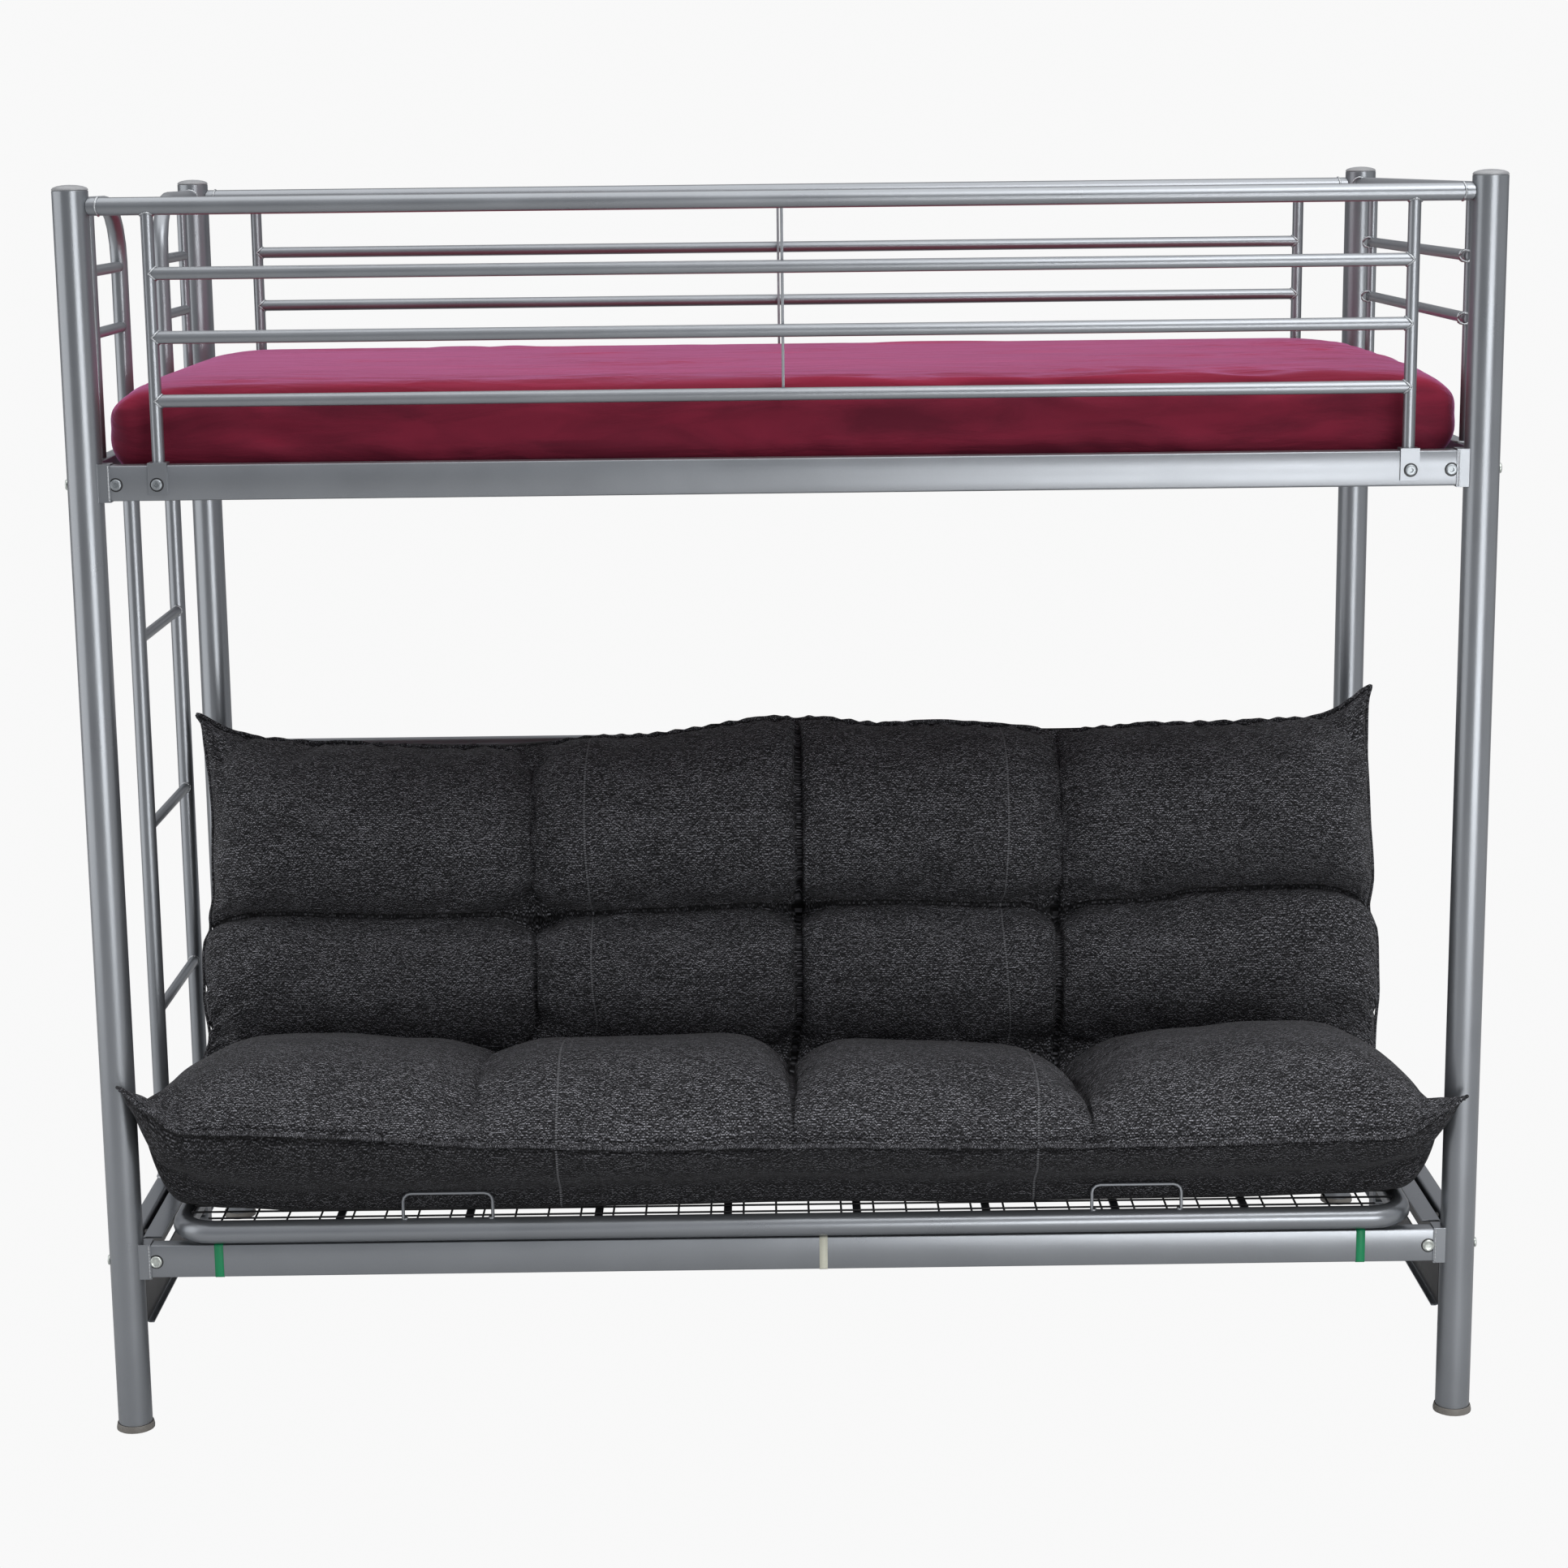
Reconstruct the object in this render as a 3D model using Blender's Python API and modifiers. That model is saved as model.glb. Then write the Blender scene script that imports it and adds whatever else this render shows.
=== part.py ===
"""Futon bunk bed: a round-tube steel bunk over a futon seat that slides forward and folds flat.

Metres, +Z up. The bed stands on Z = 0, its length runs along X and it faces -Y. The origin lies
on the floor under the middle of the whole bed, futon included.
"""

import math

import bmesh
import bpy
from mathutils import Matrix, Vector

# Clearances
FIT_GAP = 0.0003
CUT_OVERRUN = 0.010

# Roundness of the meshes, in sides
POST_SIDES = 24
TUBE_SIDES = 12
WIRE_SIDES = 6
BEND_STEPS = 5

# Posts, their caps and feet
POST_SPAN_X = 1.960
POST_SPAN_Y = 0.965
POST_D = 0.050
POST_WALL = 0.0015
POST_TOP = 1.808
CAP_RISE = 0.008
CAP_RIM = 0.0015
PLUG_DEPTH = 0.020
FOOT_D = 0.056
FOOT_H = 0.010
FOOT_SOLE = 0.003
FOOT_FLAT = 0.004

# Rectangular rails, and the sockets on the posts that hold the side rails
RAIL_H = 0.050
RAIL_W = 0.025
RAIL_WALL = 0.0015
RAIL_CORNER_R = 0.003
UPPER_RAIL_TOP = 1.4300
LOWER_RAIL_TOP = 0.2865
SOCKET_WALL = 0.0015
SOCKET_LENGTH = 0.013
SOCKET_WEB = 0.0015

# Guard rails of the upper bed
TOP_TUBE_D = 0.025
TOP_TUBE_Z = 1.786
GUARD_D = 0.018
GUARD_RAIL_HEIGHTS = {"high": 1.694, "mid": 1.606, "low": 1.518}
GUARD_UPRIGHT_X = 0.876
TAB_WIDTH = 0.027
TAB_DROP = 0.042
TAB_THICK = 0.003
STRAP_THICK = 0.004
STRAP_DEPTH = 0.017
END_GUARD_INSET = 0.115
END_GUARD_D = 0.016

# Ladder at the left end
LADDER_GAP = 0.333
LADDER_D = 0.025
HOOP_BEND_R = 0.085
RUNG_D = 0.016
RUNG_FIRST_Z = 0.551
RUNG_PITCH = 0.2915

# Deck under the upper mattress
DECK_TOP = 1.400
DECK_END_GAP = 0.045
ANGLE_LEG = 0.025
ANGLE_THICK = 0.003
SLAT_WIDTH = 0.050
SLAT_THICK = 0.005
SLAT_COUNT = 12
WELD_LAP = 0.0005

# Upper mattress
MATTRESS_END_GAP = 0.0125
MATTRESS_SIDE_GAP = 0.020
MATTRESS_THICK = 0.135
MATTRESS_CROWN = 0.008
MATTRESS_ROUND = 0.060
MATTRESS_ROUNDING_SHARES = (0.15, 0.45, 1.0)
MATTRESS_LENGTH_SHARES = (-0.5, 0.0, 0.5)
MATTRESS_CROSS_SHARES = (-0.45, 0.0, 0.45)

# Side plates that guide the futon, in a channel section
PLATE_HEIGHT = 0.134
PLATE_THICK = 0.0025
PLATE_STANDOFF = 0.005
PLATE_TOP_FLANGE = 0.030
PLATE_BOTTOM_FLANGE = 0.012
PLATE_END_GAP = 0.028
PLATE_BEND_R = 0.004
BOSS_D = 0.020
BOSS_INSET = 0.045
SLOT_Z = 0.218

# Glide blocks that run in the slots, on studs of the seat frame's hangers
GLIDE_LENGTH = 0.030
GLIDE_HEIGHT = 0.016
GLIDE_FLANGE_LIP = 0.004
GLIDE_FLANGE_THICK = 0.003
GLIDE_RUN_GAP = 0.0005
STUD_D = 0.008
HANGER_THICK = 0.004
HANGER_WIDTH = 0.030
GLIDE_FRONT_Y = 0.312
GLIDE_SPACING = 0.190

# Motion of the futon
SEAT_TRAVEL = 0.250
BACK_ANGLE = math.radians(76.0)

# Seat and back frames
FUTON_TUBE_D = 0.034
FUTON_INSET = 0.065
FUTON_CORNER_R = 0.050
SEAT_FRONT_Y = -0.017
SEAT_TUBE_Z = 0.308
HINGE_Y = 0.558
HINGE_RISE = 0.012
HINGE_LEAD = 0.030
BACK_LENGTH = 0.5615
LUG_INSET = 0.115
LUG_THICK = 0.004
LUG_EYE_R = 0.012
LUG_ROOT_R = 0.0165
HINGE_PIN_D = 0.010
HINGE_HEAD_D = 0.018
HINGE_HEAD_THICK = 0.003
BAR_END_SPACE = 0.250
BAR_COUNT = 8
BAR_WIDTH = 0.012
BAR_THICK = 0.003
NET_WIRE = 0.004
NET_ROWS = 4
NET_COLUMNS_PER_BAR = 2
NET_CORNER_CUT = 0.030
LOOP_X_SHARE = 0.2754
LOOP_WIDTH = 0.131
LOOP_RISE = 0.038
LOOP_WIRE = 0.005
LOOP_BEND_R = 0.012

# Futon pads
PAD_SIDE_GAP = 0.020
PAD_REACH = 0.090
SEAT_PAD_THICK = 0.195
BACK_PAD_LENGTH = 0.645
BACK_PAD_THICK = 0.150
PAD_JOINT_GAP = 0.003
PAD_HEEL_LIFT = 0.010
PAD_COLUMNS = 24
PAD_ROWS = 8
PAD_RIM_SHARE = 0.42
PAD_SEAM_SHARE = 0.58
PAD_DRAW_IN = 0.018
PAD_ROUND_SHARE = 0.30
PAD_LOW_NOSE_SHARE = 0.95
PAD_HEEL_SHARE = 0.75
PAD_LOOP_GAP = 0.004
LOOP_COVER = 0.012
NOSE_SLOPE_RISE = 0.040
TUFT_DEPTH = 0.016
TUFT_WIDTH = 0.035
TUFT_X_SHARES = (-0.221, 0.005, 0.230)
CREASE_SHARE_OF_TUFT = 1.4
BACK_CREASE_SHARE = 0.50
SEAT_HEEL_SLOPE = 0.28
BACK_HEEL_SLOPE = 1.05
PAD_END_SLICE_SHARE = 0.25
PAD_NOSE_SLICE_SHARE = 0.30
PAD_THICKNESS_SHARES = (-0.5, 0.0)

# A block whose surface points are shares, from -1 to 1 along each axis
SHARE_SPAN = 2.0

# Places that follow from the sizes above
POST_R = POST_D / 2
POST_X = POST_SPAN_X / 2
FRONT_Y = (PAD_REACH - POST_SPAN_Y - FOOT_D / 2) / 2
BACK_Y = FRONT_Y + POST_SPAN_Y
MID_Y = (FRONT_Y + BACK_Y) / 2
UPPER_RAIL_Z = UPPER_RAIL_TOP - RAIL_H / 2
LOWER_RAIL_Z = LOWER_RAIL_TOP - RAIL_H / 2
LADDER_FRONT_Y = MID_Y - LADDER_GAP / 2
LADDER_BACK_Y = MID_Y + LADDER_GAP / 2
PIVOT_Y = FRONT_Y + HINGE_Y
PIVOT_Z = SEAT_TUBE_Z + HINGE_RISE
DECK_LENGTH = POST_SPAN_X - 2 * DECK_END_GAP
MATTRESS_LENGTH = POST_SPAN_X - RAIL_W - 2 * MATTRESS_END_GAP
MATTRESS_WIDTH = POST_SPAN_Y - RAIL_W - 2 * MATTRESS_SIDE_GAP
FUTON_WIDTH = POST_SPAN_X - 2 * FUTON_INSET
FUTON_TUBE_X = FUTON_WIDTH / 2 - FUTON_TUBE_D / 2
LUG_X = FUTON_WIDTH / 2 - LUG_INSET
BAR_PITCH = (FUTON_WIDTH - 2 * BAR_END_SPACE) / (BAR_COUNT - 1)
LOOP_X = FUTON_WIDTH * LOOP_X_SHARE
PAD_LENGTH = POST_SPAN_X - POST_D - 2 * PAD_SIDE_GAP
PLATE_WEB_X = POST_X - RAIL_W / 2 - PLATE_STANDOFF - PLATE_THICK / 2
SLOT_HALF_H = GLIDE_HEIGHT / 2 + GLIDE_RUN_GAP
NET_LIFT = FUTON_TUBE_D / 2 - NET_WIRE / 2

# Colour, roughness and metallic value of each finish
FINISHES = {
    "silver": ((0.56, 0.58, 0.60), 0.38, 0.75),
    "cap_grey": ((0.42, 0.43, 0.44), 0.45, 0.2),
    "foot_grey": ((0.24, 0.23, 0.22), 0.6, 0.0),
    "black_steel": ((0.02, 0.02, 0.022), 0.5, 0.3),
    "zinc": ((0.66, 0.67, 0.66), 0.35, 0.9),
    "nylon": ((0.05, 0.05, 0.05), 0.55, 0.0),
    "plum_cotton": ((0.36, 0.05, 0.16), 0.85, 0.0),
    "charcoal_weave": ((0.035, 0.035, 0.04), 0.92, 0.0),
}


def new_collection(name):
    collection = bpy.data.collections.new(name)
    bpy.context.scene.collection.children.link(collection)
    return collection


def clear_scene():
    for obj in list(bpy.data.objects):
        bpy.data.objects.remove(obj, do_unlink=True)


clear_scene()
BED = new_collection("futon_bunk_bed")
CUTTERS = new_collection("cutters")


def finish_material(name, finish):
    color, roughness, metallic = FINISHES[finish]
    material = bpy.data.materials.new(name + "_" + finish)
    material.use_nodes = True
    shader = material.node_tree.nodes["Principled BSDF"]
    shader.inputs["Base Color"].default_value = (*color, 1.0)
    shader.inputs["Roughness"].default_value = roughness
    shader.inputs["Metallic"].default_value = metallic
    material.diffuse_color = (*color, 1.0)
    return material


def add_part(obj, finish, parent=None):
    """Puts the object in the bed's collection with a material of its own, under its parent."""
    BED.objects.link(obj)
    obj.data.materials.clear()
    obj.data.materials.append(finish_material(obj.name, finish))
    obj.parent = parent
    return obj


def add_cutter(obj, parent=None):
    CUTTERS.objects.link(obj)
    obj.hide_render = True
    obj.display_type = "WIRE"
    obj.parent = parent
    return obj


def boolean(obj, other, operation="DIFFERENCE"):
    modifier = obj.modifiers.new(operation.lower() + "_" + other.name, "BOOLEAN")
    modifier.operation = operation
    modifier.solver = "EXACT"
    modifier.object = other
    return obj


def cut_by(obj, *cutters):
    for cutter in cutters:
        boolean(obj, cutter)
    return obj


def weld_on(obj, *pieces):
    for piece in pieces:
        boolean(obj, piece, "UNION")
    return obj


def object_from(name, bm, smooth_angle=math.radians(35)):
    bmesh.ops.recalc_face_normals(bm, faces=bm.faces)
    mesh = bpy.data.meshes.new(name)
    bm.to_mesh(mesh)
    bm.free()
    mesh.shade_smooth()
    mesh.set_sharp_from_angle(angle=smooth_angle)
    return bpy.data.objects.new(name, mesh)


def box(name, low, high):
    """A block between two opposite corners."""
    bm = bmesh.new()
    bmesh.ops.create_cube(bm, size=1.0)
    low, high = Vector(low), Vector(high)
    size = high - low
    bmesh.ops.scale(bm, vec=size, verts=bm.verts)
    bmesh.ops.translate(bm, vec=(low + high) / 2, verts=bm.verts)
    return object_from(name, bm)


def curve_tube(name, points, diameter, sides=TUBE_SIDES, closed=False):
    """A round bar along the points, turned into a mesh with its caps welded on."""
    curve = bpy.data.curves.new(name, "CURVE")
    curve.dimensions = "3D"
    spline = curve.splines.new("POLY")
    spline.points.add(len(points) - 1)
    for point, place in zip(spline.points, points):
        point.co = (*place, 1.0)
    spline.use_cyclic_u = closed
    curve.bevel_depth = diameter / 2
    curve.bevel_resolution = sides // 2 - 2
    curve.use_fill_caps = True
    guide = bpy.data.objects.new(name + "_path", curve)
    CUTTERS.objects.link(guide)
    graph = bpy.context.evaluated_depsgraph_get()
    mesh = bpy.data.meshes.new_from_object(guide.evaluated_get(graph))
    bm = bmesh.new()
    bm.from_mesh(mesh)
    bmesh.ops.remove_doubles(bm, verts=bm.verts, dist=FIT_GAP / 10)
    bpy.data.objects.remove(guide, do_unlink=True)
    bpy.data.curves.remove(curve)
    bpy.data.meshes.remove(mesh)
    return object_from(name, bm)


def round_cutter(name, start, end, diameter, sides=TUBE_SIDES, parent=None):
    """A cutter whose flats clear a round piece of this diameter by the fit gap."""
    across_corners = (diameter + 2 * FIT_GAP) / math.cos(math.pi / sides)
    cutter = curve_tube(name, (start, end), across_corners, sides)
    return add_cutter(cutter, parent)


def bend(points, radius, steps=BEND_STEPS):
    """The points of an open path, with each inner corner rounded to this radius."""
    path = [Vector(points[0])]
    for before, corner, after in zip(points, points[1:], points[2:]):
        path += corner_arc(Vector(before), Vector(corner), Vector(after), radius, steps)
    return path + [Vector(points[-1])]


def corner_arc(before, corner, after, radius, steps):
    incoming = (before - corner).normalized()
    outgoing = (after - corner).normalized()
    half = incoming.angle(outgoing) / 2
    centre = corner + (incoming + outgoing).normalized() * radius / math.sin(half)
    start = corner + incoming * radius / math.tan(half) - centre
    end = corner + outgoing * radius / math.tan(half) - centre
    return [centre + start.slerp(end, step / steps) * radius for step in range(steps + 1)]


def rounded_loop(corners, radius, steps=BEND_STEPS):
    """The points of a closed path through the corners, all rounded to this radius."""
    ring = [Vector(corner) for corner in corners]
    path = []
    for index, corner in enumerate(ring):
        after = ring[(index + 1) % len(ring)]
        path += corner_arc(ring[index - 1], corner, after, radius, steps)
    return path


def turned(name, profile, sides, place):
    """A turned piece: the profile's (radius, height) points swept once round Z."""
    mesh = bpy.data.meshes.new(name)
    bm = bmesh.new()
    ring = [bm.verts.new((radius, 0.0, height)) for radius, height in profile]
    for first, second in zip(ring, ring[1:]):
        bm.edges.new((first, second))
    if profile[0][0] > 0:
        bm.edges.new((ring[-1], ring[0]))
    bm.to_mesh(mesh)
    bm.free()
    obj = bpy.data.objects.new(name, mesh)
    obj.location = place
    screw = obj.modifiers.new("turn", "SCREW")
    screw.steps = sides
    screw.render_steps = sides
    screw.use_merge_vertices = True
    screw.merge_threshold = FIT_GAP / 10
    return obj


def extruded(name, outline, depth, matrix):
    """A flat plate: the outline's (x, y) points filled, half of depth to each side."""
    curve = bpy.data.curves.new(name, "CURVE")
    curve.dimensions = "2D"
    curve.fill_mode = "BOTH"
    curve.extrude = depth / 2
    spline = curve.splines.new("POLY")
    spline.points.add(len(outline) - 1)
    for point, (x, y) in zip(spline.points, outline):
        point.co = (x, y, 0.0, 1.0)
    spline.use_cyclic_u = True
    guide = bpy.data.objects.new(name + "_outline", curve)
    CUTTERS.objects.link(guide)
    graph = bpy.context.evaluated_depsgraph_get()
    mesh = bpy.data.meshes.new_from_object(guide.evaluated_get(graph))
    bm = bmesh.new()
    bm.from_mesh(mesh)
    bmesh.ops.remove_doubles(bm, verts=bm.verts, dist=FIT_GAP / 10)
    bmesh.ops.transform(bm, matrix=matrix, verts=bm.verts)
    bpy.data.objects.remove(guide, do_unlink=True)
    bpy.data.curves.remove(curve)
    bpy.data.meshes.remove(mesh)
    return object_from(name, bm)


def link_outline(start, end, start_radius, end_radius, steps=8):
    """The outline of a link plate: two round ends of their own radius and the tangents between."""
    start, end = Vector(start), Vector(end)
    along = end - start
    heading = math.atan2(along.y, along.x)
    lean = math.acos((start_radius - end_radius) / along.length)
    outline = []
    for centre, radius, first, last in (
        (end, end_radius, heading - lean, heading + lean),
        (start, start_radius, heading + lean, heading - lean + 2 * math.pi),
    ):
        for step in range(steps + 1):
            angle = first + (last - first) * step / steps
            outline.append((centre.x + radius * math.cos(angle), centre.y + radius * math.sin(angle)))
    return outline


def side_plane(x):
    """Turns a flat outline drawn in (Y, Z) into the plane across X at this place."""
    turn = Matrix(((0, 0, 1), (1, 0, 0), (0, 1, 0))).to_4x4()
    return Matrix.Translation((x, 0.0, 0.0)) @ turn


def rect_tube(name, centre, length, axis):
    """A hollow rectangular rail with rounded long edges, open at both ends, along X or Y."""
    bm = bmesh.new()
    bmesh.ops.create_cube(bm, size=1.0)
    size = (length, RAIL_W, RAIL_H) if axis == "X" else (RAIL_W, length, RAIL_H)
    bmesh.ops.scale(bm, vec=size, verts=bm.verts)
    along = 0 if axis == "X" else 1
    ends = [face for face in bm.faces if abs(face.normal[along]) > 0.5]
    bmesh.ops.delete(bm, geom=ends, context="FACES_ONLY")
    long_edges = [e for e in bm.edges if abs((e.verts[0].co - e.verts[1].co)[along]) > length / 2]
    bmesh.ops.bevel(
        bm, geom=long_edges, offset=RAIL_CORNER_R, segments=2, profile=0.5, affect="EDGES"
    )
    obj = object_from(name, bm)
    obj.location = centre
    solidify = obj.modifiers.new("wall", "SOLIDIFY")
    solidify.thickness = RAIL_WALL
    solidify.offset = -1.0
    solidify.use_even_offset = True
    return obj


# Posts

POSTS = {
    "front_left": (-1, FRONT_Y),
    "front_right": (1, FRONT_Y),
    "back_left": (-1, BACK_Y),
    "back_right": (1, BACK_Y),
}


def socket_box(name, side, y, rail_z):
    """The socket's outer block, from inside the post's wall to its mouth."""
    half_w = RAIL_W / 2 + FIT_GAP + SOCKET_WALL
    half_h = RAIL_H / 2 + FIT_GAP + SOCKET_WALL
    ends = sorted((side * (POST_X - POST_R - SOCKET_LENGTH), side * POST_X))
    block = box(name, (ends[0], y - half_w, rail_z - half_h), (ends[1], y + half_w, rail_z + half_h))
    return add_cutter(block)


def socket_pocket(name, side, y, rail_z):
    """The hollow in the socket that takes the rail's end."""
    half_w = RAIL_W / 2 + FIT_GAP
    half_h = RAIL_H / 2 + FIT_GAP
    mouth = POST_X - POST_R - SOCKET_LENGTH - CUT_OVERRUN
    floor = POST_X - POST_R - SOCKET_WEB
    ends = sorted((side * mouth, side * floor))
    block = box(name, (ends[0], y - half_w, rail_z - half_h), (ends[1], y + half_w, rail_z + half_h))
    return add_cutter(block)


def make_posts():
    bore_r = POST_R - POST_WALL
    for where, (side, y) in POSTS.items():
        x = side * POST_X
        outline = ((0, POST_TOP), (POST_R, POST_TOP), (POST_R, FOOT_SOLE + FIT_GAP), (0, FOOT_SOLE + FIT_GAP))
        post = turned("post_" + where, outline, POST_SIDES, (x, y, 0.0))
        for level, rail_z in (("upper", UPPER_RAIL_Z), ("lower", LOWER_RAIL_Z)):
            name = level + "_socket_" + where
            weld_on(post, socket_box(name, side, y, rail_z))
            cut_by(post, socket_pocket(name + "_pocket", side, y, rail_z))
        bore_outline = (
            (0, POST_TOP + CUT_OVERRUN),
            (bore_r, POST_TOP + CUT_OVERRUN),
            (bore_r, -CUT_OVERRUN),
            (0, -CUT_OVERRUN),
        )
        bore = turned("bore_" + where, bore_outline, POST_SIDES, (x, y, 0.0))
        cut_by(post, add_cutter(bore))
        add_part(post, "silver")
        add_part(post_cap("post_cap_" + where, x, y), "cap_grey")
        add_part(post_foot("foot_" + where, x, y), "foot_grey")


def post_cap(name, x, y):
    """A shallow dome with a plug that sits inside the post."""
    plug_r = POST_R - POST_WALL - FIT_GAP
    rim_low = POST_TOP + FIT_GAP
    dome_base = rim_low + CAP_RIM
    dome_rise = POST_TOP + CAP_RISE - dome_base
    steps = 4
    profile = []
    for step in range(steps + 1):
        angle = math.pi / 2 * step / steps
        profile.append((POST_R * math.sin(angle), dome_base + dome_rise * math.cos(angle)))
    profile += [(POST_R, rim_low), (plug_r, rim_low), (plug_r, rim_low - PLUG_DEPTH), (0, rim_low - PLUG_DEPTH)]
    return turned(name, profile, POST_SIDES, (x, y, 0.0))


def post_foot(name, x, y):
    """A flared cup round the post's end, with a plug inside it and a flat sole."""
    plug_r = POST_R - POST_WALL - FIT_GAP
    cup_r = POST_R / math.cos(math.pi / POST_SIDES) + FIT_GAP
    lip_r = (cup_r + FOOT_D / 2) / 2
    profile = (
        (0, FOOT_SOLE + PLUG_DEPTH),
        (plug_r, FOOT_SOLE + PLUG_DEPTH),
        (plug_r, FOOT_SOLE),
        (cup_r, FOOT_SOLE),
        (cup_r, FOOT_H),
        (lip_r, FOOT_H),
        (FOOT_D / 2, FOOT_FLAT),
        (FOOT_D / 2, 0),
        (0, 0),
    )
    return turned(name, profile, POST_SIDES, (x, y, 0.0))


def post_cutters():
    """One cutter round each post, that copes the ends of whatever is welded to it."""
    cutters = {}
    for where, (side, y) in POSTS.items():
        low = (side * POST_X, y, -CUT_OVERRUN)
        high = (side * POST_X, y, POST_TOP + CUT_OVERRUN)
        cutters[where] = round_cutter("post_cope_" + where, low, high, POST_D, POST_SIDES)
    return cutters


# Rectangular rails


def make_rails(copes):
    half_span = POST_X - POST_R - SOCKET_WEB - FIT_GAP
    for level, rail_z in (("upper", UPPER_RAIL_Z), ("lower", LOWER_RAIL_Z)):
        for where, y in (("front", FRONT_Y), ("back", BACK_Y)):
            rail = rect_tube(level + "_side_rail_" + where, (0.0, y, rail_z), 2 * half_span, "X")
            add_part(rail, "silver")
        for where, side in (("left", -1), ("right", 1)):
            rail = rect_tube(level + "_end_rail_" + where, (side * POST_X, MID_Y, rail_z), POST_SPAN_Y, "Y")
            add_part(cut_by(rail, copes["front_" + where], copes["back_" + where]), "silver")


# Guards along the sides


def make_side_guard(where, y, copes):
    """Top tube, two uprights with bolted tabs, three rails and a centre strap."""
    outward = -1 if where == "front" else 1
    top_start = (-POST_X, y, TOP_TUBE_Z)
    top_end = (POST_X, y, TOP_TUBE_Z)
    top_tube = curve_tube("guard_top_tube_" + where, (top_start, top_end), TOP_TUBE_D)
    add_part(cut_by(top_tube, copes[where + "_left"], copes[where + "_right"]), "silver")
    top_cope = round_cutter("top_cope_" + where, top_start, top_end, TOP_TUBE_D)

    upright_copes = []
    tab_top = UPPER_RAIL_TOP + FIT_GAP + TAB_THICK
    tab_face = y + outward * (RAIL_W / 2 + FIT_GAP)
    for hand, side in (("left", -1), ("right", 1)):
        x = side * GUARD_UPRIGHT_X
        name = "guard_upright_" + where + "_" + hand
        foot_end = (x, y, tab_top - TAB_THICK / 2)
        head_end = (x, y, TOP_TUBE_Z)
        upright = curve_tube(name, (foot_end, head_end), GUARD_D)
        ledge_ys = sorted((y - outward * GUARD_D / 2, tab_face + outward * TAB_THICK))
        ledge = box(
            name + "_ledge",
            (x - TAB_WIDTH / 2, ledge_ys[0], tab_top - TAB_THICK),
            (x + TAB_WIDTH / 2, ledge_ys[1], tab_top),
        )
        tab_ys = sorted((tab_face, tab_face + outward * TAB_THICK))
        tab = box(
            name + "_tab",
            (x - TAB_WIDTH / 2, tab_ys[0], tab_top - TAB_THICK - TAB_DROP),
            (x + TAB_WIDTH / 2, tab_ys[1], tab_top - TAB_THICK / 2),
        )
        weld_on(upright, add_cutter(ledge), add_cutter(tab))
        add_part(cut_by(upright, top_cope), "silver")
        upright_copes.append(round_cutter(name + "_cope", foot_end, head_end, GUARD_D))

    for level, z in GUARD_RAIL_HEIGHTS.items():
        ends = ((-GUARD_UPRIGHT_X, y, z), (GUARD_UPRIGHT_X, y, z))
        rail = curve_tube("guard_rail_" + where + "_" + level, ends, GUARD_D)
        add_part(cut_by(rail, *upright_copes), "silver")

    strap_ys = sorted((y - outward * (GUARD_D / 2 + FIT_GAP), y - outward * (GUARD_D / 2 + STRAP_DEPTH)))
    strap = box(
        "guard_strap_" + where,
        (-STRAP_THICK / 2, strap_ys[0], GUARD_RAIL_HEIGHTS["low"] - GUARD_D / 2),
        (STRAP_THICK / 2, strap_ys[1], TOP_TUBE_Z),
    )
    add_part(cut_by(strap, top_cope), "silver")


# Left end: ladder and the hoops above it


def make_ladder_end(copes):
    """Two hoops with their short guards above the end rail, and the ladder below it."""
    x = -POST_X
    rail_top = UPPER_RAIL_TOP + FIT_GAP
    for where, post_y, leg_y, inward in (
        ("front", FRONT_Y, LADDER_FRONT_Y, 1),
        ("back", BACK_Y, LADDER_BACK_Y, -1),
    ):
        corner = (x, leg_y, TOP_TUBE_Z)
        path = bend(((x, post_y, TOP_TUBE_Z), corner, (x, leg_y, rail_top)), HOOP_BEND_R)
        hoop = curve_tube("ladder_hoop_" + where, path, LADDER_D)
        guard_y = post_y + inward * END_GUARD_INSET
        upright_ends = ((x, guard_y, rail_top), (x, guard_y, TOP_TUBE_Z))
        weld_on(hoop, add_cutter(curve_tube("hoop_upright_" + where, upright_ends, END_GUARD_D)))
        for level in ("high", "mid"):
            z = GUARD_RAIL_HEIGHTS[level]
            stub_ends = ((x, guard_y, z), (x, leg_y, z))
            stub = curve_tube("hoop_stub_" + where + "_" + level, stub_ends, END_GUARD_D)
            weld_on(hoop, add_cutter(stub))
        add_part(cut_by(hoop, copes[where + "_left"]), "silver")

    leg_copes = []
    leg_low = LOWER_RAIL_TOP + FIT_GAP
    leg_high = UPPER_RAIL_TOP - RAIL_H - FIT_GAP
    for where, leg_y in (("front", LADDER_FRONT_Y), ("back", LADDER_BACK_Y)):
        ends = ((x, leg_y, leg_low), (x, leg_y, leg_high))
        add_part(curve_tube("ladder_leg_" + where, ends, LADDER_D), "silver")
        leg_copes.append(round_cutter("ladder_leg_cope_" + where, *ends, LADDER_D))

    for index, level in enumerate(("low", "mid", "high")):
        z = RUNG_FIRST_Z + index * RUNG_PITCH
        ends = ((x, LADDER_FRONT_Y, z), (x, LADDER_BACK_Y, z))
        add_part(cut_by(curve_tube("ladder_rung_" + level, ends, RUNG_D), *leg_copes), "silver")


# Right end: closed guard


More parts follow.
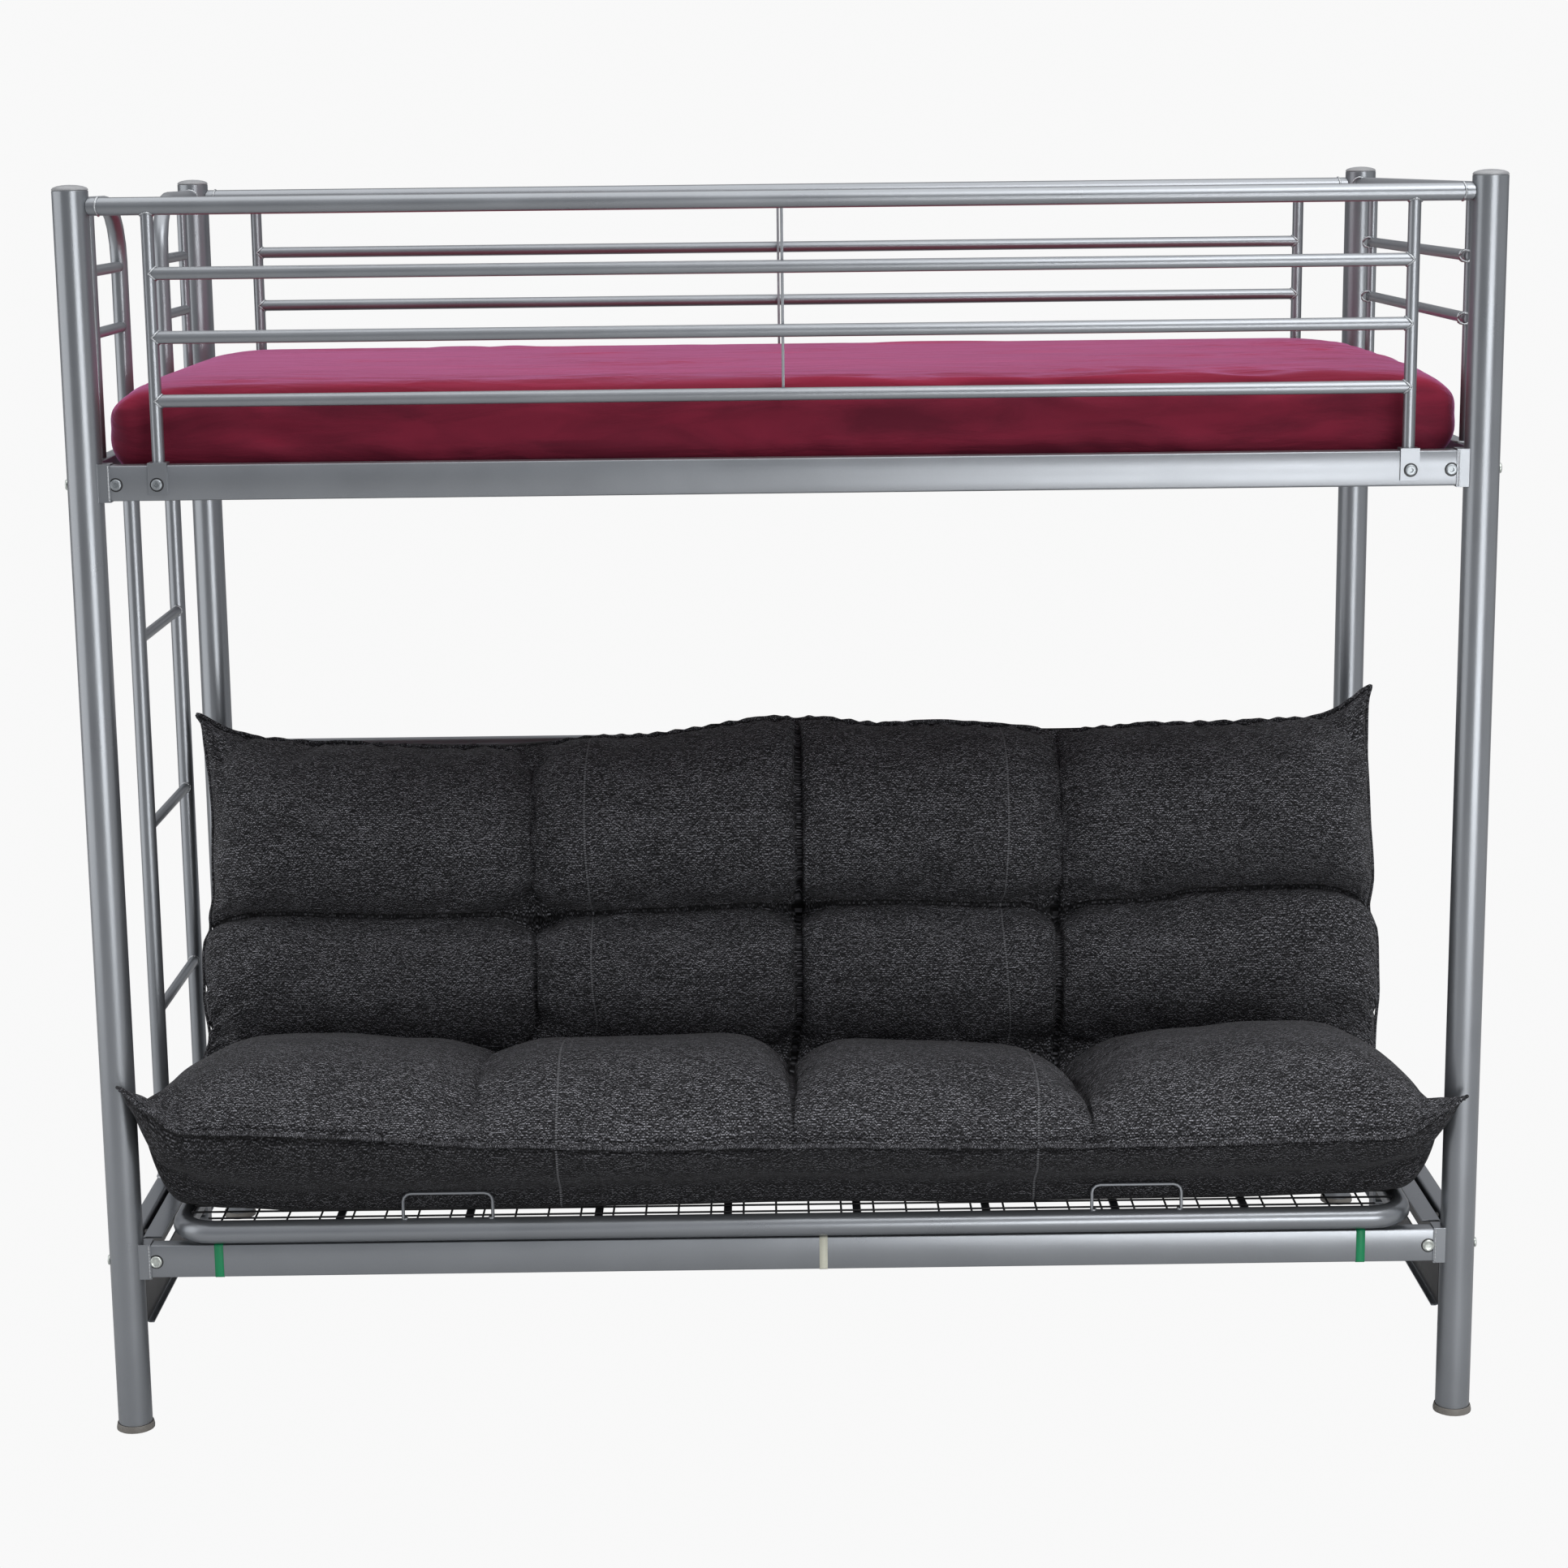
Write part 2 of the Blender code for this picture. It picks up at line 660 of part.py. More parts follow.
def make_closed_end(copes):
    x = POST_X
    top_ends = ((x, FRONT_Y, TOP_TUBE_Z), (x, BACK_Y, TOP_TUBE_Z))
    top_tube = curve_tube("end_top_tube", top_ends, TOP_TUBE_D)
    add_part(cut_by(top_tube, copes["front_right"], copes["back_right"]), "silver")
    top_cope = round_cutter("end_top_cope", *top_ends, TOP_TUBE_D)

    upright_copes = []
    upright_ys = (FRONT_Y + END_GUARD_INSET, BACK_Y - END_GUARD_INSET)
    for where, y in zip(("front", "back"), upright_ys):
        ends = ((x, y, UPPER_RAIL_TOP + FIT_GAP), (x, y, TOP_TUBE_Z))
        upright = curve_tube("end_guard_upright_" + where, ends, END_GUARD_D)
        add_part(cut_by(upright, top_cope), "silver")
        upright_copes.append(round_cutter("end_upright_cope_" + where, *ends, END_GUARD_D))
    for level in ("high", "mid"):
        z = GUARD_RAIL_HEIGHTS[level]
        ends = ((x, upright_ys[0], z), (x, upright_ys[1], z))
        rail = curve_tube("end_guard_rail_" + level, ends, END_GUARD_D)
        add_part(cut_by(rail, *upright_copes), "silver")


# Deck and mattress of the upper bed


def make_deck():
    """Steel slats welded across two angle bars that are fixed to the side rails."""
    half_length = DECK_LENGTH / 2
    shelf_top = DECK_TOP - SLAT_THICK + WELD_LAP
    outer = POST_SPAN_Y / 2 - RAIL_W / 2 - FIT_GAP
    deck = None
    for where, side in (("front", -1), ("back", 1)):
        face_y = MID_Y + side * outer
        shelf_ys = sorted((face_y, face_y - side * ANGLE_LEG))
        shelf = box(
            "angle_shelf_" + where,
            (-half_length, shelf_ys[0], shelf_top - ANGLE_THICK),
            (half_length, shelf_ys[1], shelf_top),
        )
        wall_ys = sorted((face_y, face_y - side * ANGLE_THICK))
        wall = box(
            "angle_wall_" + where,
            (-half_length, wall_ys[0], shelf_top - ANGLE_THICK - ANGLE_LEG / 2),
            (half_length, wall_ys[1], shelf_top + ANGLE_LEG / 2),
        )
        if deck is None:
            deck = weld_on(shelf, add_cutter(wall))
            deck.name = "upper_deck"
        else:
            weld_on(deck, add_cutter(shelf), add_cutter(wall))
    slat_half = outer - ANGLE_THICK - FIT_GAP
    pitch = (DECK_LENGTH - SLAT_WIDTH) / (SLAT_COUNT - 1)
    for index in range(SLAT_COUNT):
        x = -half_length + SLAT_WIDTH / 2 + index * pitch
        inset = WELD_LAP if index in (0, SLAT_COUNT - 1) else 0.0
        slat = box(
            "deck_slat_" + str(index),
            (x - SLAT_WIDTH / 2 + inset, MID_Y - slat_half, DECK_TOP - SLAT_THICK),
            (x + SLAT_WIDTH / 2 - inset, MID_Y + slat_half, DECK_TOP),
        )
        weld_on(deck, add_cutter(slat))
    add_part(deck, "silver")


def sliced_block(x_cuts, y_cuts, z_cuts):
    """A cube from -1 to 1 with an edge loop at each of the cuts."""
    bm = bmesh.new()
    bmesh.ops.create_cube(bm, size=SHARE_SPAN)
    for axis, cuts in enumerate((x_cuts, y_cuts, z_cuts)):
        normal = [0.0, 0.0, 0.0]
        normal[axis] = 1.0
        for cut in cuts:
            place = [0.0, 0.0, 0.0]
            place[axis] = cut
            geometry = bm.verts[:] + bm.edges[:] + bm.faces[:]
            bmesh.ops.bisect_plane(bm, geom=geometry, plane_co=place, plane_no=normal)
    return bm


def round_block(place, half, radius):
    """Moves a point of a block's surface onto the block with all edges rounded."""
    core = Vector(max(radius - h, min(h - radius, c)) for c, h in zip(place, half))
    offset = place - core
    return core + offset.normalized() * radius if offset.length > 0 else place


def make_mattress():
    half = Vector((MATTRESS_LENGTH / 2, MATTRESS_WIDTH / 2, MATTRESS_THICK / 2))
    reach_x = MATTRESS_ROUND / half.x
    reach_y = MATTRESS_ROUND / half.y
    shares = [(side, share) for side in (-1, 1) for share in MATTRESS_ROUNDING_SHARES]
    x_cuts = [side * (1 - share * reach_x) for side, share in shares]
    y_cuts = [side * (1 - share * reach_y) for side, share in shares]
    x_cuts += MATTRESS_LENGTH_SHARES
    y_cuts += MATTRESS_CROSS_SHARES
    bm = sliced_block(x_cuts, y_cuts, MATTRESS_CROSS_SHARES)
    for vert in bm.verts:
        share = vert.co.copy()
        vert.co = round_block(Vector(c * h for c, h in zip(share, half)), half, MATTRESS_ROUND)
        if share.z > 0:
            vert.co.z += MATTRESS_CROWN * (1 - share.x**2) * (1 - share.y**2) * share.z
    mattress = object_from("upper_mattress", bm, math.radians(80))
    mattress.location = (0.0, MID_Y, DECK_TOP + FIT_GAP + MATTRESS_THICK / 2)
    add_part(mattress, "plum_cotton")


# Side plates that carry and guide the futon


def plate_section(side):
    """The channel's path in (X, Z), from the edge of the top flange to that of the bottom one."""
    top_z = LOWER_RAIL_TOP - PLATE_THICK / 2
    low_z = top_z - PLATE_HEIGHT + PLATE_THICK
    web_x = side * PLATE_WEB_X
    outer = web_x + side * PLATE_THICK / 2
    corners = (
        (outer - side * PLATE_TOP_FLANGE, 0.0, top_z),
        (web_x, 0.0, top_z),
        (web_x, 0.0, low_z),
        (outer - side * PLATE_BOTTOM_FLANGE, 0.0, low_z),
    )
    return bend(corners, PLATE_BEND_R, 2)


def make_side_plate(where, side):
    name = "side_plate_" + where
    start_y = FRONT_Y + PLATE_END_GAP
    end_y = BACK_Y - PLATE_END_GAP
    bm = bmesh.new()
    ring = [bm.verts.new((place.x, start_y, place.z)) for place in plate_section(side)]
    edges = [bm.edges.new(pair) for pair in zip(ring, ring[1:])]
    swept = bmesh.ops.extrude_edge_only(bm, edges=edges)["geom"]
    moved = [item for item in swept if isinstance(item, bmesh.types.BMVert)]
    bmesh.ops.translate(bm, vec=(0.0, end_y - start_y, 0.0), verts=moved)
    plate = object_from(name, bm)
    solidify = plate.modifiers.new("sheet", "SOLIDIFY")
    solidify.thickness = PLATE_THICK
    solidify.offset = 0.0
    solidify.use_even_offset = True

    front_end = FRONT_Y + GLIDE_FRONT_Y - SEAT_TRAVEL
    back_end = FRONT_Y + GLIDE_FRONT_Y + GLIDE_SPACING
    half_run = GLIDE_LENGTH / 2 - GLIDE_HEIGHT / 2
    slot_r = SLOT_HALF_H
    slot_outline = link_outline(
        (front_end - half_run - GLIDE_RUN_GAP, SLOT_Z), (back_end + half_run + GLIDE_RUN_GAP, SLOT_Z), slot_r, slot_r
    )
    slot = extruded(name + "_slot", slot_outline, 2 * CUT_OVERRUN, side_plane(side * PLATE_WEB_X))
    cut_by(plate, add_cutter(slot))

    rail_face = POST_X - RAIL_W / 2 - FIT_GAP
    boss_z = LOWER_RAIL_Z + RAIL_H / 2 - BOSS_D / 2 - PLATE_BEND_R
    for end, y in (("front", start_y + BOSS_INSET), ("back", end_y - BOSS_INSET)):
        boss_ends = ((side * PLATE_WEB_X, y, boss_z), (side * rail_face, y, boss_z))
        weld_on(plate, add_cutter(curve_tube(name + "_boss_" + end, boss_ends, BOSS_D)))
    add_part(plate, "black_steel")


def glide_outline(y, z, grow):
    half_run = GLIDE_LENGTH / 2 - GLIDE_HEIGHT / 2
    radius = GLIDE_HEIGHT / 2 + grow
    return link_outline((y - half_run, z), (y + half_run, z), radius, radius, 6)


def make_glide(where, side, end, y, seat):
    """A nylon block with a lip on each side of the plate, bored for the hanger's stud."""
    name = "glide_" + end + "_" + where
    z = SLOT_Z - PIVOT_Z
    web_inner = PLATE_WEB_X - PLATE_THICK / 2 - GLIDE_RUN_GAP
    web_outer = PLATE_WEB_X + PLATE_THICK / 2 + GLIDE_RUN_GAP
    core_span = web_outer - web_inner + 2 * GLIDE_FLANGE_THICK
    glide = extruded(name, glide_outline(y, z, 0.0), core_span, side_plane(side * PLATE_WEB_X))
    for lip, x in (
        ("inner", web_inner - GLIDE_FLANGE_THICK / 2),
        ("outer", web_outer + GLIDE_FLANGE_THICK / 2),
    ):
        outline = glide_outline(y, z, GLIDE_FLANGE_LIP)
        plate = extruded(name + "_lip_" + lip, outline, GLIDE_FLANGE_THICK, side_plane(side * x))
        weld_on(glide, add_cutter(plate, seat))
    bore_ends = (
        (side * (web_inner - CUT_OVERRUN), y, z),
        (side * (web_outer + CUT_OVERRUN), y, z),
    )
    bore = round_cutter(name + "_bore", *bore_ends, STUD_D, parent=seat)
    add_part(cut_by(glide, bore), "nylon", seat)


# Seat and back of the futon

SIDES = (("left", -1), ("right", 1))


def deck_frame(name, start_y, length, tube_z, parent):
    """A closed tube with rounded corners, with flat bars welded across it from front to back."""
    corners = (
        (-FUTON_TUBE_X, start_y, tube_z),
        (FUTON_TUBE_X, start_y, tube_z),
        (FUTON_TUBE_X, start_y + length, tube_z),
        (-FUTON_TUBE_X, start_y + length, tube_z),
    )
    frame = curve_tube(name, rounded_loop(corners, FUTON_CORNER_R), FUTON_TUBE_D, closed=True)
    bar_top = tube_z + NET_LIFT - NET_WIRE / 2 - FIT_GAP
    for index in range(BAR_COUNT):
        x = (index - (BAR_COUNT - 1) / 2) * BAR_PITCH
        bar = box(
            name + "_bar_" + str(index),
            (x - BAR_WIDTH / 2, start_y, bar_top - BAR_THICK),
            (x + BAR_WIDTH / 2, start_y + length, bar_top),
        )
        weld_on(frame, add_cutter(bar, parent))
    return frame


def deck_net(name, start_y, length, tube_z, parent):
    """The welded wire net inside a frame, as a lattice of one thickness."""
    low_edge = NET_LIFT - NET_WIRE / 2
    reach = math.sqrt((FUTON_TUBE_D / 2) ** 2 - low_edge**2) + FIT_GAP
    half_x = FUTON_TUBE_X - reach
    half_y = length / 2 - reach
    column = BAR_PITCH / NET_COLUMNS_PER_BAR
    bm = bmesh.new()
    bmesh.ops.create_grid(bm, x_segments=1, y_segments=1, size=1.0)
    bmesh.ops.scale(bm, vec=(half_x, half_y, 1.0), verts=bm.verts)
    count = int(half_x / column)
    x_lines = [(index * column, 0.0, 0.0) for index in range(-count, count + 1)]
    y_lines = [(0.0, half_y * (2 * row / NET_ROWS - 1), 0.0) for row in range(1, NET_ROWS)]
    for places, normal in ((x_lines, (1.0, 0.0, 0.0)), (y_lines, (0.0, 1.0, 0.0))):
        for place in places:
            geometry = bm.verts[:] + bm.edges[:] + bm.faces[:]
            bmesh.ops.bisect_plane(bm, geom=geometry, plane_co=place, plane_no=normal)
    for vert in bm.verts:
        if abs(vert.co.x) > half_x - FIT_GAP and abs(vert.co.y) > half_y - FIT_GAP:
            vert.co.x -= math.copysign(NET_CORNER_CUT / 2, vert.co.x)
            vert.co.y -= math.copysign(NET_CORNER_CUT / 2, vert.co.y)
    wires = set(bmesh.ops.inset_individual(bm, faces=bm.faces[:], thickness=NET_WIRE / 2)["faces"])
    gaps = [face for face in bm.faces if face not in wires]
    bmesh.ops.delete(bm, geom=gaps, context="FACES")
    net = object_from(name, bm)
    net.location = (0.0, start_y + length / 2, tube_z + NET_LIFT)
    solidify = net.modifiers.new("wire", "SOLIDIFY")
    solidify.thickness = NET_WIRE
    solidify.offset = 0.0
    add_part(net, "black_steel", parent)


def hinge_lug(name, x, tube, parent):
    """A link plate from the frame's tube to the hinge axis, as a shape to weld on."""
    outline = link_outline(tube, (0.0, 0.0), LUG_ROOT_R, LUG_EYE_R)
    plate = extruded(name, outline, LUG_THICK, side_plane(x))
    return add_cutter(plate, parent)


def pad_point(share, length_of, thick, low_nose, crease_y):
    """A pad's surface point from its place on a block: crown, pinched rim, drawn-in sides and tufts."""
    along = (share.y + 1) / 2
    rim_x = max(0.0, abs(share.x) - (1 - PAD_ROUND_SHARE / 4)) / (PAD_ROUND_SHARE / 4)
    rim_nose = max(0.0, along - (1 - PAD_ROUND_SHARE)) / PAD_ROUND_SHARE
    rim_heel = max(0.0, PAD_ROUND_SHARE / 2 - along) / (PAD_ROUND_SHARE / 2)
    nose = math.sqrt(max(0.0, 1 - rim_nose**2))
    if share.z < 0:
        nose = low_nose + (1 - low_nose) * nose
    fullness = math.sqrt(max(0.0, 1 - rim_x**2)) * nose
    fullness *= 1 - (1 - PAD_HEEL_SHARE) * rim_heel**2
    if share.z >= 0 or low_nose == 0:
        fullness = PAD_RIM_SHARE + (1 - PAD_RIM_SHARE) * fullness
    height = thick * (PAD_SEAM_SHARE + ((share.z + 1) / 2 - PAD_SEAM_SHARE) * fullness)
    x = share.x * PAD_LENGTH / 2
    if share.z > 0:
        dents = [(x - tuft * PAD_LENGTH) / TUFT_WIDTH for tuft in TUFT_X_SHARES]
        depth = max(math.exp(-dent * dent) for dent in dents)
        if crease_y is not None:
            dent = (along - crease_y) * length_of(height) / TUFT_WIDTH
            depth = max(depth, CREASE_SHARE_OF_TUFT * math.exp(-dent * dent))
        height -= TUFT_DEPTH * depth * share.z
    drawn = PAD_DRAW_IN * abs(share.x) ** 4 * math.sin(math.pi * along)
    return x - math.copysign(drawn, share.x), along, height


def make_pad(name, length_of, start_of, thick, base_z, low_nose, crease_y):
    """A futon pad on its frame. It runs along +Y from the hinge side, with its face towards +Z."""
    x_cuts = [2 * index / PAD_COLUMNS - 1 for index in range(1, PAD_COLUMNS)]
    end = 1 - PAD_END_SLICE_SHARE / PAD_COLUMNS
    x_cuts += [-end, end]
    y_cuts = [2 * index / PAD_ROWS - 1 for index in range(1, PAD_ROWS)]
    y_cuts.append(1 - PAD_NOSE_SLICE_SHARE / PAD_ROWS)
    bm = sliced_block(x_cuts, y_cuts, PAD_THICKNESS_SHARES)
    for vert in bm.verts:
        x, along, height = pad_point(vert.co, length_of, thick, low_nose, crease_y)
        vert.co = (x, start_of(height) + along * length_of(height), base_z + height)
    pad = object_from(name, bm, math.radians(80))
    return pad


def make_futon():
    seat = bpy.data.objects.new("seat_slide", None)
    seat.location = (0.0, PIVOT_Y, PIVOT_Z)
    BED.objects.link(seat)
    back = bpy.data.objects.new("back_recline", None)
    back.rotation_euler = (BACK_ANGLE, 0.0, 0.0)
    back.parent = seat
    BED.objects.link(back)

    seat_start = SEAT_FRONT_Y - HINGE_Y
    seat_length = -HINGE_LEAD - seat_start
    seat_frame = deck_frame("seat_frame", seat_start, seat_length, -HINGE_RISE, seat)
    back_frame = deck_frame("back_frame", HINGE_LEAD, BACK_LENGTH, -HINGE_RISE, back)

    for where, side in SIDES:
        x = side * LUG_X
        weld_on(seat_frame, hinge_lug("seat_lug_" + where, x, (-HINGE_LEAD, -HINGE_RISE), seat))
        back_x = x + side * (LUG_THICK + FIT_GAP)
        weld_on(back_frame, hinge_lug("back_lug_" + where, back_x, (HINGE_LEAD, -HINGE_RISE), back))
        head_x = x + side * (LUG_THICK * 1.5 + 2 * FIT_GAP)
        pin_ends = ((x, 0.0, 0.0), (head_x + side * HINGE_HEAD_THICK / 2, 0.0, 0.0))
        head_ends = ((head_x, 0.0, 0.0), (head_x + side * HINGE_HEAD_THICK, 0.0, 0.0))
        pin = curve_tube("hinge_pin_" + where, pin_ends, HINGE_PIN_D)
        head = curve_tube("hinge_head_" + where, head_ends, HINGE_HEAD_D)
        weld_on(seat_frame, add_cutter(pin, seat), add_cutter(head, seat))
        bore_ends = ((x, 0.0, 0.0), (head_x + side * CUT_OVERRUN, 0.0, 0.0))
        cut_by(back_frame, round_cutter("hinge_bore_" + where, *bore_ends, HINGE_PIN_D, parent=back))
        make_hangers(seat_frame, where, side, seat)
        loop_x = side * LOOP_X
        weld_on(seat_frame, mattress_loop("mattress_loop_" + where, loop_x, seat_start, seat))

    add_part(seat_frame, "silver", seat)
    add_part(back_frame, "silver", back)
    deck_net("seat_net", seat_start, seat_length, -HINGE_RISE, seat)
    deck_net("back_net", HINGE_LEAD, BACK_LENGTH, -HINGE_RISE, back)
    make_pads(seat, back)


def make_hangers(seat_frame, where, side, seat):
    """Plates that hang from the seat's side tube, each with a stud into its glide block."""
    tube_side = FUTON_WIDTH / 2
    for end, y in (("front", GLIDE_FRONT_Y), ("back", GLIDE_FRONT_Y + GLIDE_SPACING)):
        local_y = y - HINGE_Y
        name = "hanger_" + end + "_" + where
        xs = sorted((side * (tube_side - HANGER_THICK / 2), side * (tube_side + HANGER_THICK / 2)))
        plate = box(
            name,
            (xs[0], local_y - HANGER_WIDTH / 2, SLOT_Z - PIVOT_Z - HANGER_WIDTH / 2),
            (xs[1], local_y + HANGER_WIDTH / 2, -HINGE_RISE + FUTON_TUBE_D / 4),
        )
        stud_end = PLATE_WEB_X + PLATE_THICK / 2 + GLIDE_RUN_GAP + GLIDE_FLANGE_THICK
        stud_ends = (
            (side * tube_side, local_y, SLOT_Z - PIVOT_Z),
            (side * stud_end, local_y, SLOT_Z - PIVOT_Z),
        )
        stud = curve_tube(name + "_stud", stud_ends, STUD_D)
        weld_on(seat_frame, add_cutter(plate, seat), add_cutter(stud, seat))
        make_glide(where, side, end, local_y, seat)


def mattress_loop(name, x, front_y, parent):
    """A wire stirrup on the front tube that keeps the pad from sliding forward."""
    half = LOOP_WIDTH / 2
    top = -HINGE_RISE + FUTON_TUBE_D / 2 + LOOP_RISE
    corners = (
        (x - half, front_y, -HINGE_RISE),
        (x - half, front_y, top),
        (x + half, front_y, top),
        (x + half, front_y, -HINGE_RISE),
    )
    return add_cutter(curve_tube(name, bend(corners, LOOP_BEND_R, 3), LOOP_WIRE, WIRE_SIDES), parent)


def make_pads(seat, back):
    """Both halves of the futon, mitred where they meet above the hinge."""
    loop_setback = SEAT_FRONT_Y + LOOP_WIRE / 2 + PAD_LOOP_GAP
    loop_reach = HINGE_Y - loop_setback
    base = -HINGE_RISE + FUTON_TUBE_D / 2 + FIT_GAP

    def seat_start(height):
        return HINGE_LEAD + SEAT_HEEL_SLOPE * height

    def seat_length(height):
        above_loops = (height - LOOP_RISE - LOOP_COVER) / NOSE_SLOPE_RISE
        return loop_reach + (PAD_REACH + loop_setback) * min(1.0, max(0.0, above_loops)) - seat_start(height)

    seat_pad = make_pad(
        "seat_pad", seat_length, seat_start, SEAT_PAD_THICK, base, PAD_LOW_NOSE_SHARE, None
    )
    seat_pad.rotation_euler = (0.0, 0.0, math.pi)
    add_part(seat_pad, "charcoal_weave", seat)

    def back_start(height):
        return HINGE_LEAD + PAD_HEEL_LIFT + PAD_JOINT_GAP + BACK_HEEL_SLOPE * height

    def back_length(height):
        return BACK_PAD_LENGTH - back_start(height)

    back_pad = make_pad(
        "back_pad", back_length, back_start, BACK_PAD_THICK, base, 0.0, BACK_CREASE_SHARE
    )
    add_part(back_pad, "charcoal_weave", back)


def main():
    copes = post_cutters()
    make_posts()
    make_rails(copes)
    make_side_guard("front", FRONT_Y, copes)
    make_side_guard("back", BACK_Y, copes)
    make_ladder_end(copes)
    make_closed_end(copes)
    make_deck()
    make_mattress()
    for where, side in SIDES:
        make_side_plate(where, side)
    make_futon()


main()
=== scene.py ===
"""Photographic look of the futon bunk bed, dressed over its CAD frame on a plain pale ground.

Metres, +Z up, in the frame of the CAD model: the bed faces -Y and stands on Z = 0.
"""

import math

import bpy
import numpy as np
from mathutils import Matrix, Vector


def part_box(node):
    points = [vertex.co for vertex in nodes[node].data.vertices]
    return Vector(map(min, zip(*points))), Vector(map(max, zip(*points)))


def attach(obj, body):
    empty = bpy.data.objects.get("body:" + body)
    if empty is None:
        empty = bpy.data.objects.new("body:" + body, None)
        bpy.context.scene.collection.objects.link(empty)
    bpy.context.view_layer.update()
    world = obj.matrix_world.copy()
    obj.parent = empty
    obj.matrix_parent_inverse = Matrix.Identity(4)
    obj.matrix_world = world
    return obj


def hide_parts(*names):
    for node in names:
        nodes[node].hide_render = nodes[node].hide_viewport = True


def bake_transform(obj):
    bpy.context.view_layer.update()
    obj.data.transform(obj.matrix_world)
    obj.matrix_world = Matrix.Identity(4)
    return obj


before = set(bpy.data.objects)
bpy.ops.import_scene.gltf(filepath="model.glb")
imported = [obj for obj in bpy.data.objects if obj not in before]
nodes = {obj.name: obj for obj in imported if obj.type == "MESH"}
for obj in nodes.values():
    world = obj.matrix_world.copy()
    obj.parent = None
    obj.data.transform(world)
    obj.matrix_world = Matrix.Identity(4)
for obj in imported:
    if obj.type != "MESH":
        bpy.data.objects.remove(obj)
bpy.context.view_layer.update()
scene = bpy.context.scene


# Places taken from the frame
def middle(node):
    low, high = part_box(node)
    return (low + high) / 2


def size(node):
    low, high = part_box(node)
    return high - low


FRONT_Y = middle("post_front_left").y
BACK_Y = middle("post_back_left").y
POST_X = middle("post_front_right").x
POST_R = size("post_front_left").x / 2
RAIL_H = size("lower_side_rail_front").z
RAIL_W = size("lower_side_rail_front").y
LOWER_RAIL_Z = middle("lower_side_rail_front").z
UPPER_RAIL_Z = middle("upper_side_rail_front").z
FUTON_TUBE_R = 0.017
SEAT_TUBE_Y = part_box("seat_frame")[0].y + FUTON_TUBE_R
SEAT_TUBE_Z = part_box("seat_net")[1].z - FUTON_TUBE_R
X_AXIS, Y_AXIS, Z_AXIS = np.eye(3)

# Camera
CAMERA_PLACE = (-0.030524, -4.895919, 1.843647)
CAMERA_RIGHT = (0.9999089, -0.0078320, -0.0109919)
CAMERA_DOWN = (-0.0123047, -0.1943361, -0.9808578)
CAMERA_AHEAD = (0.0055459, 0.9809037, -0.1944147)
CAMERA_LENS = 72.711
SENSOR_WIDTH = 36
CAMERA_REACH = 200


def set_all(target, **settings):
    for key, value in settings.items():
        setattr(target, key, value)


def put_in_scene(name, data):
    obj = bpy.data.objects.new(name, data)
    scene.collection.objects.link(obj)
    return obj


def make_camera():
    data = bpy.data.cameras.new("camera")
    set_all(data, lens=CAMERA_LENS, sensor_width=SENSOR_WIDTH, clip_end=CAMERA_REACH)
    scene.camera = put_in_scene("camera", data)
    columns = (Vector(CAMERA_RIGHT), -Vector(CAMERA_DOWN), -Vector(CAMERA_AHEAD))
    turn = Matrix(columns).transposed().to_4x4()
    scene.camera.matrix_world = Matrix.Translation(CAMERA_PLACE) @ turn


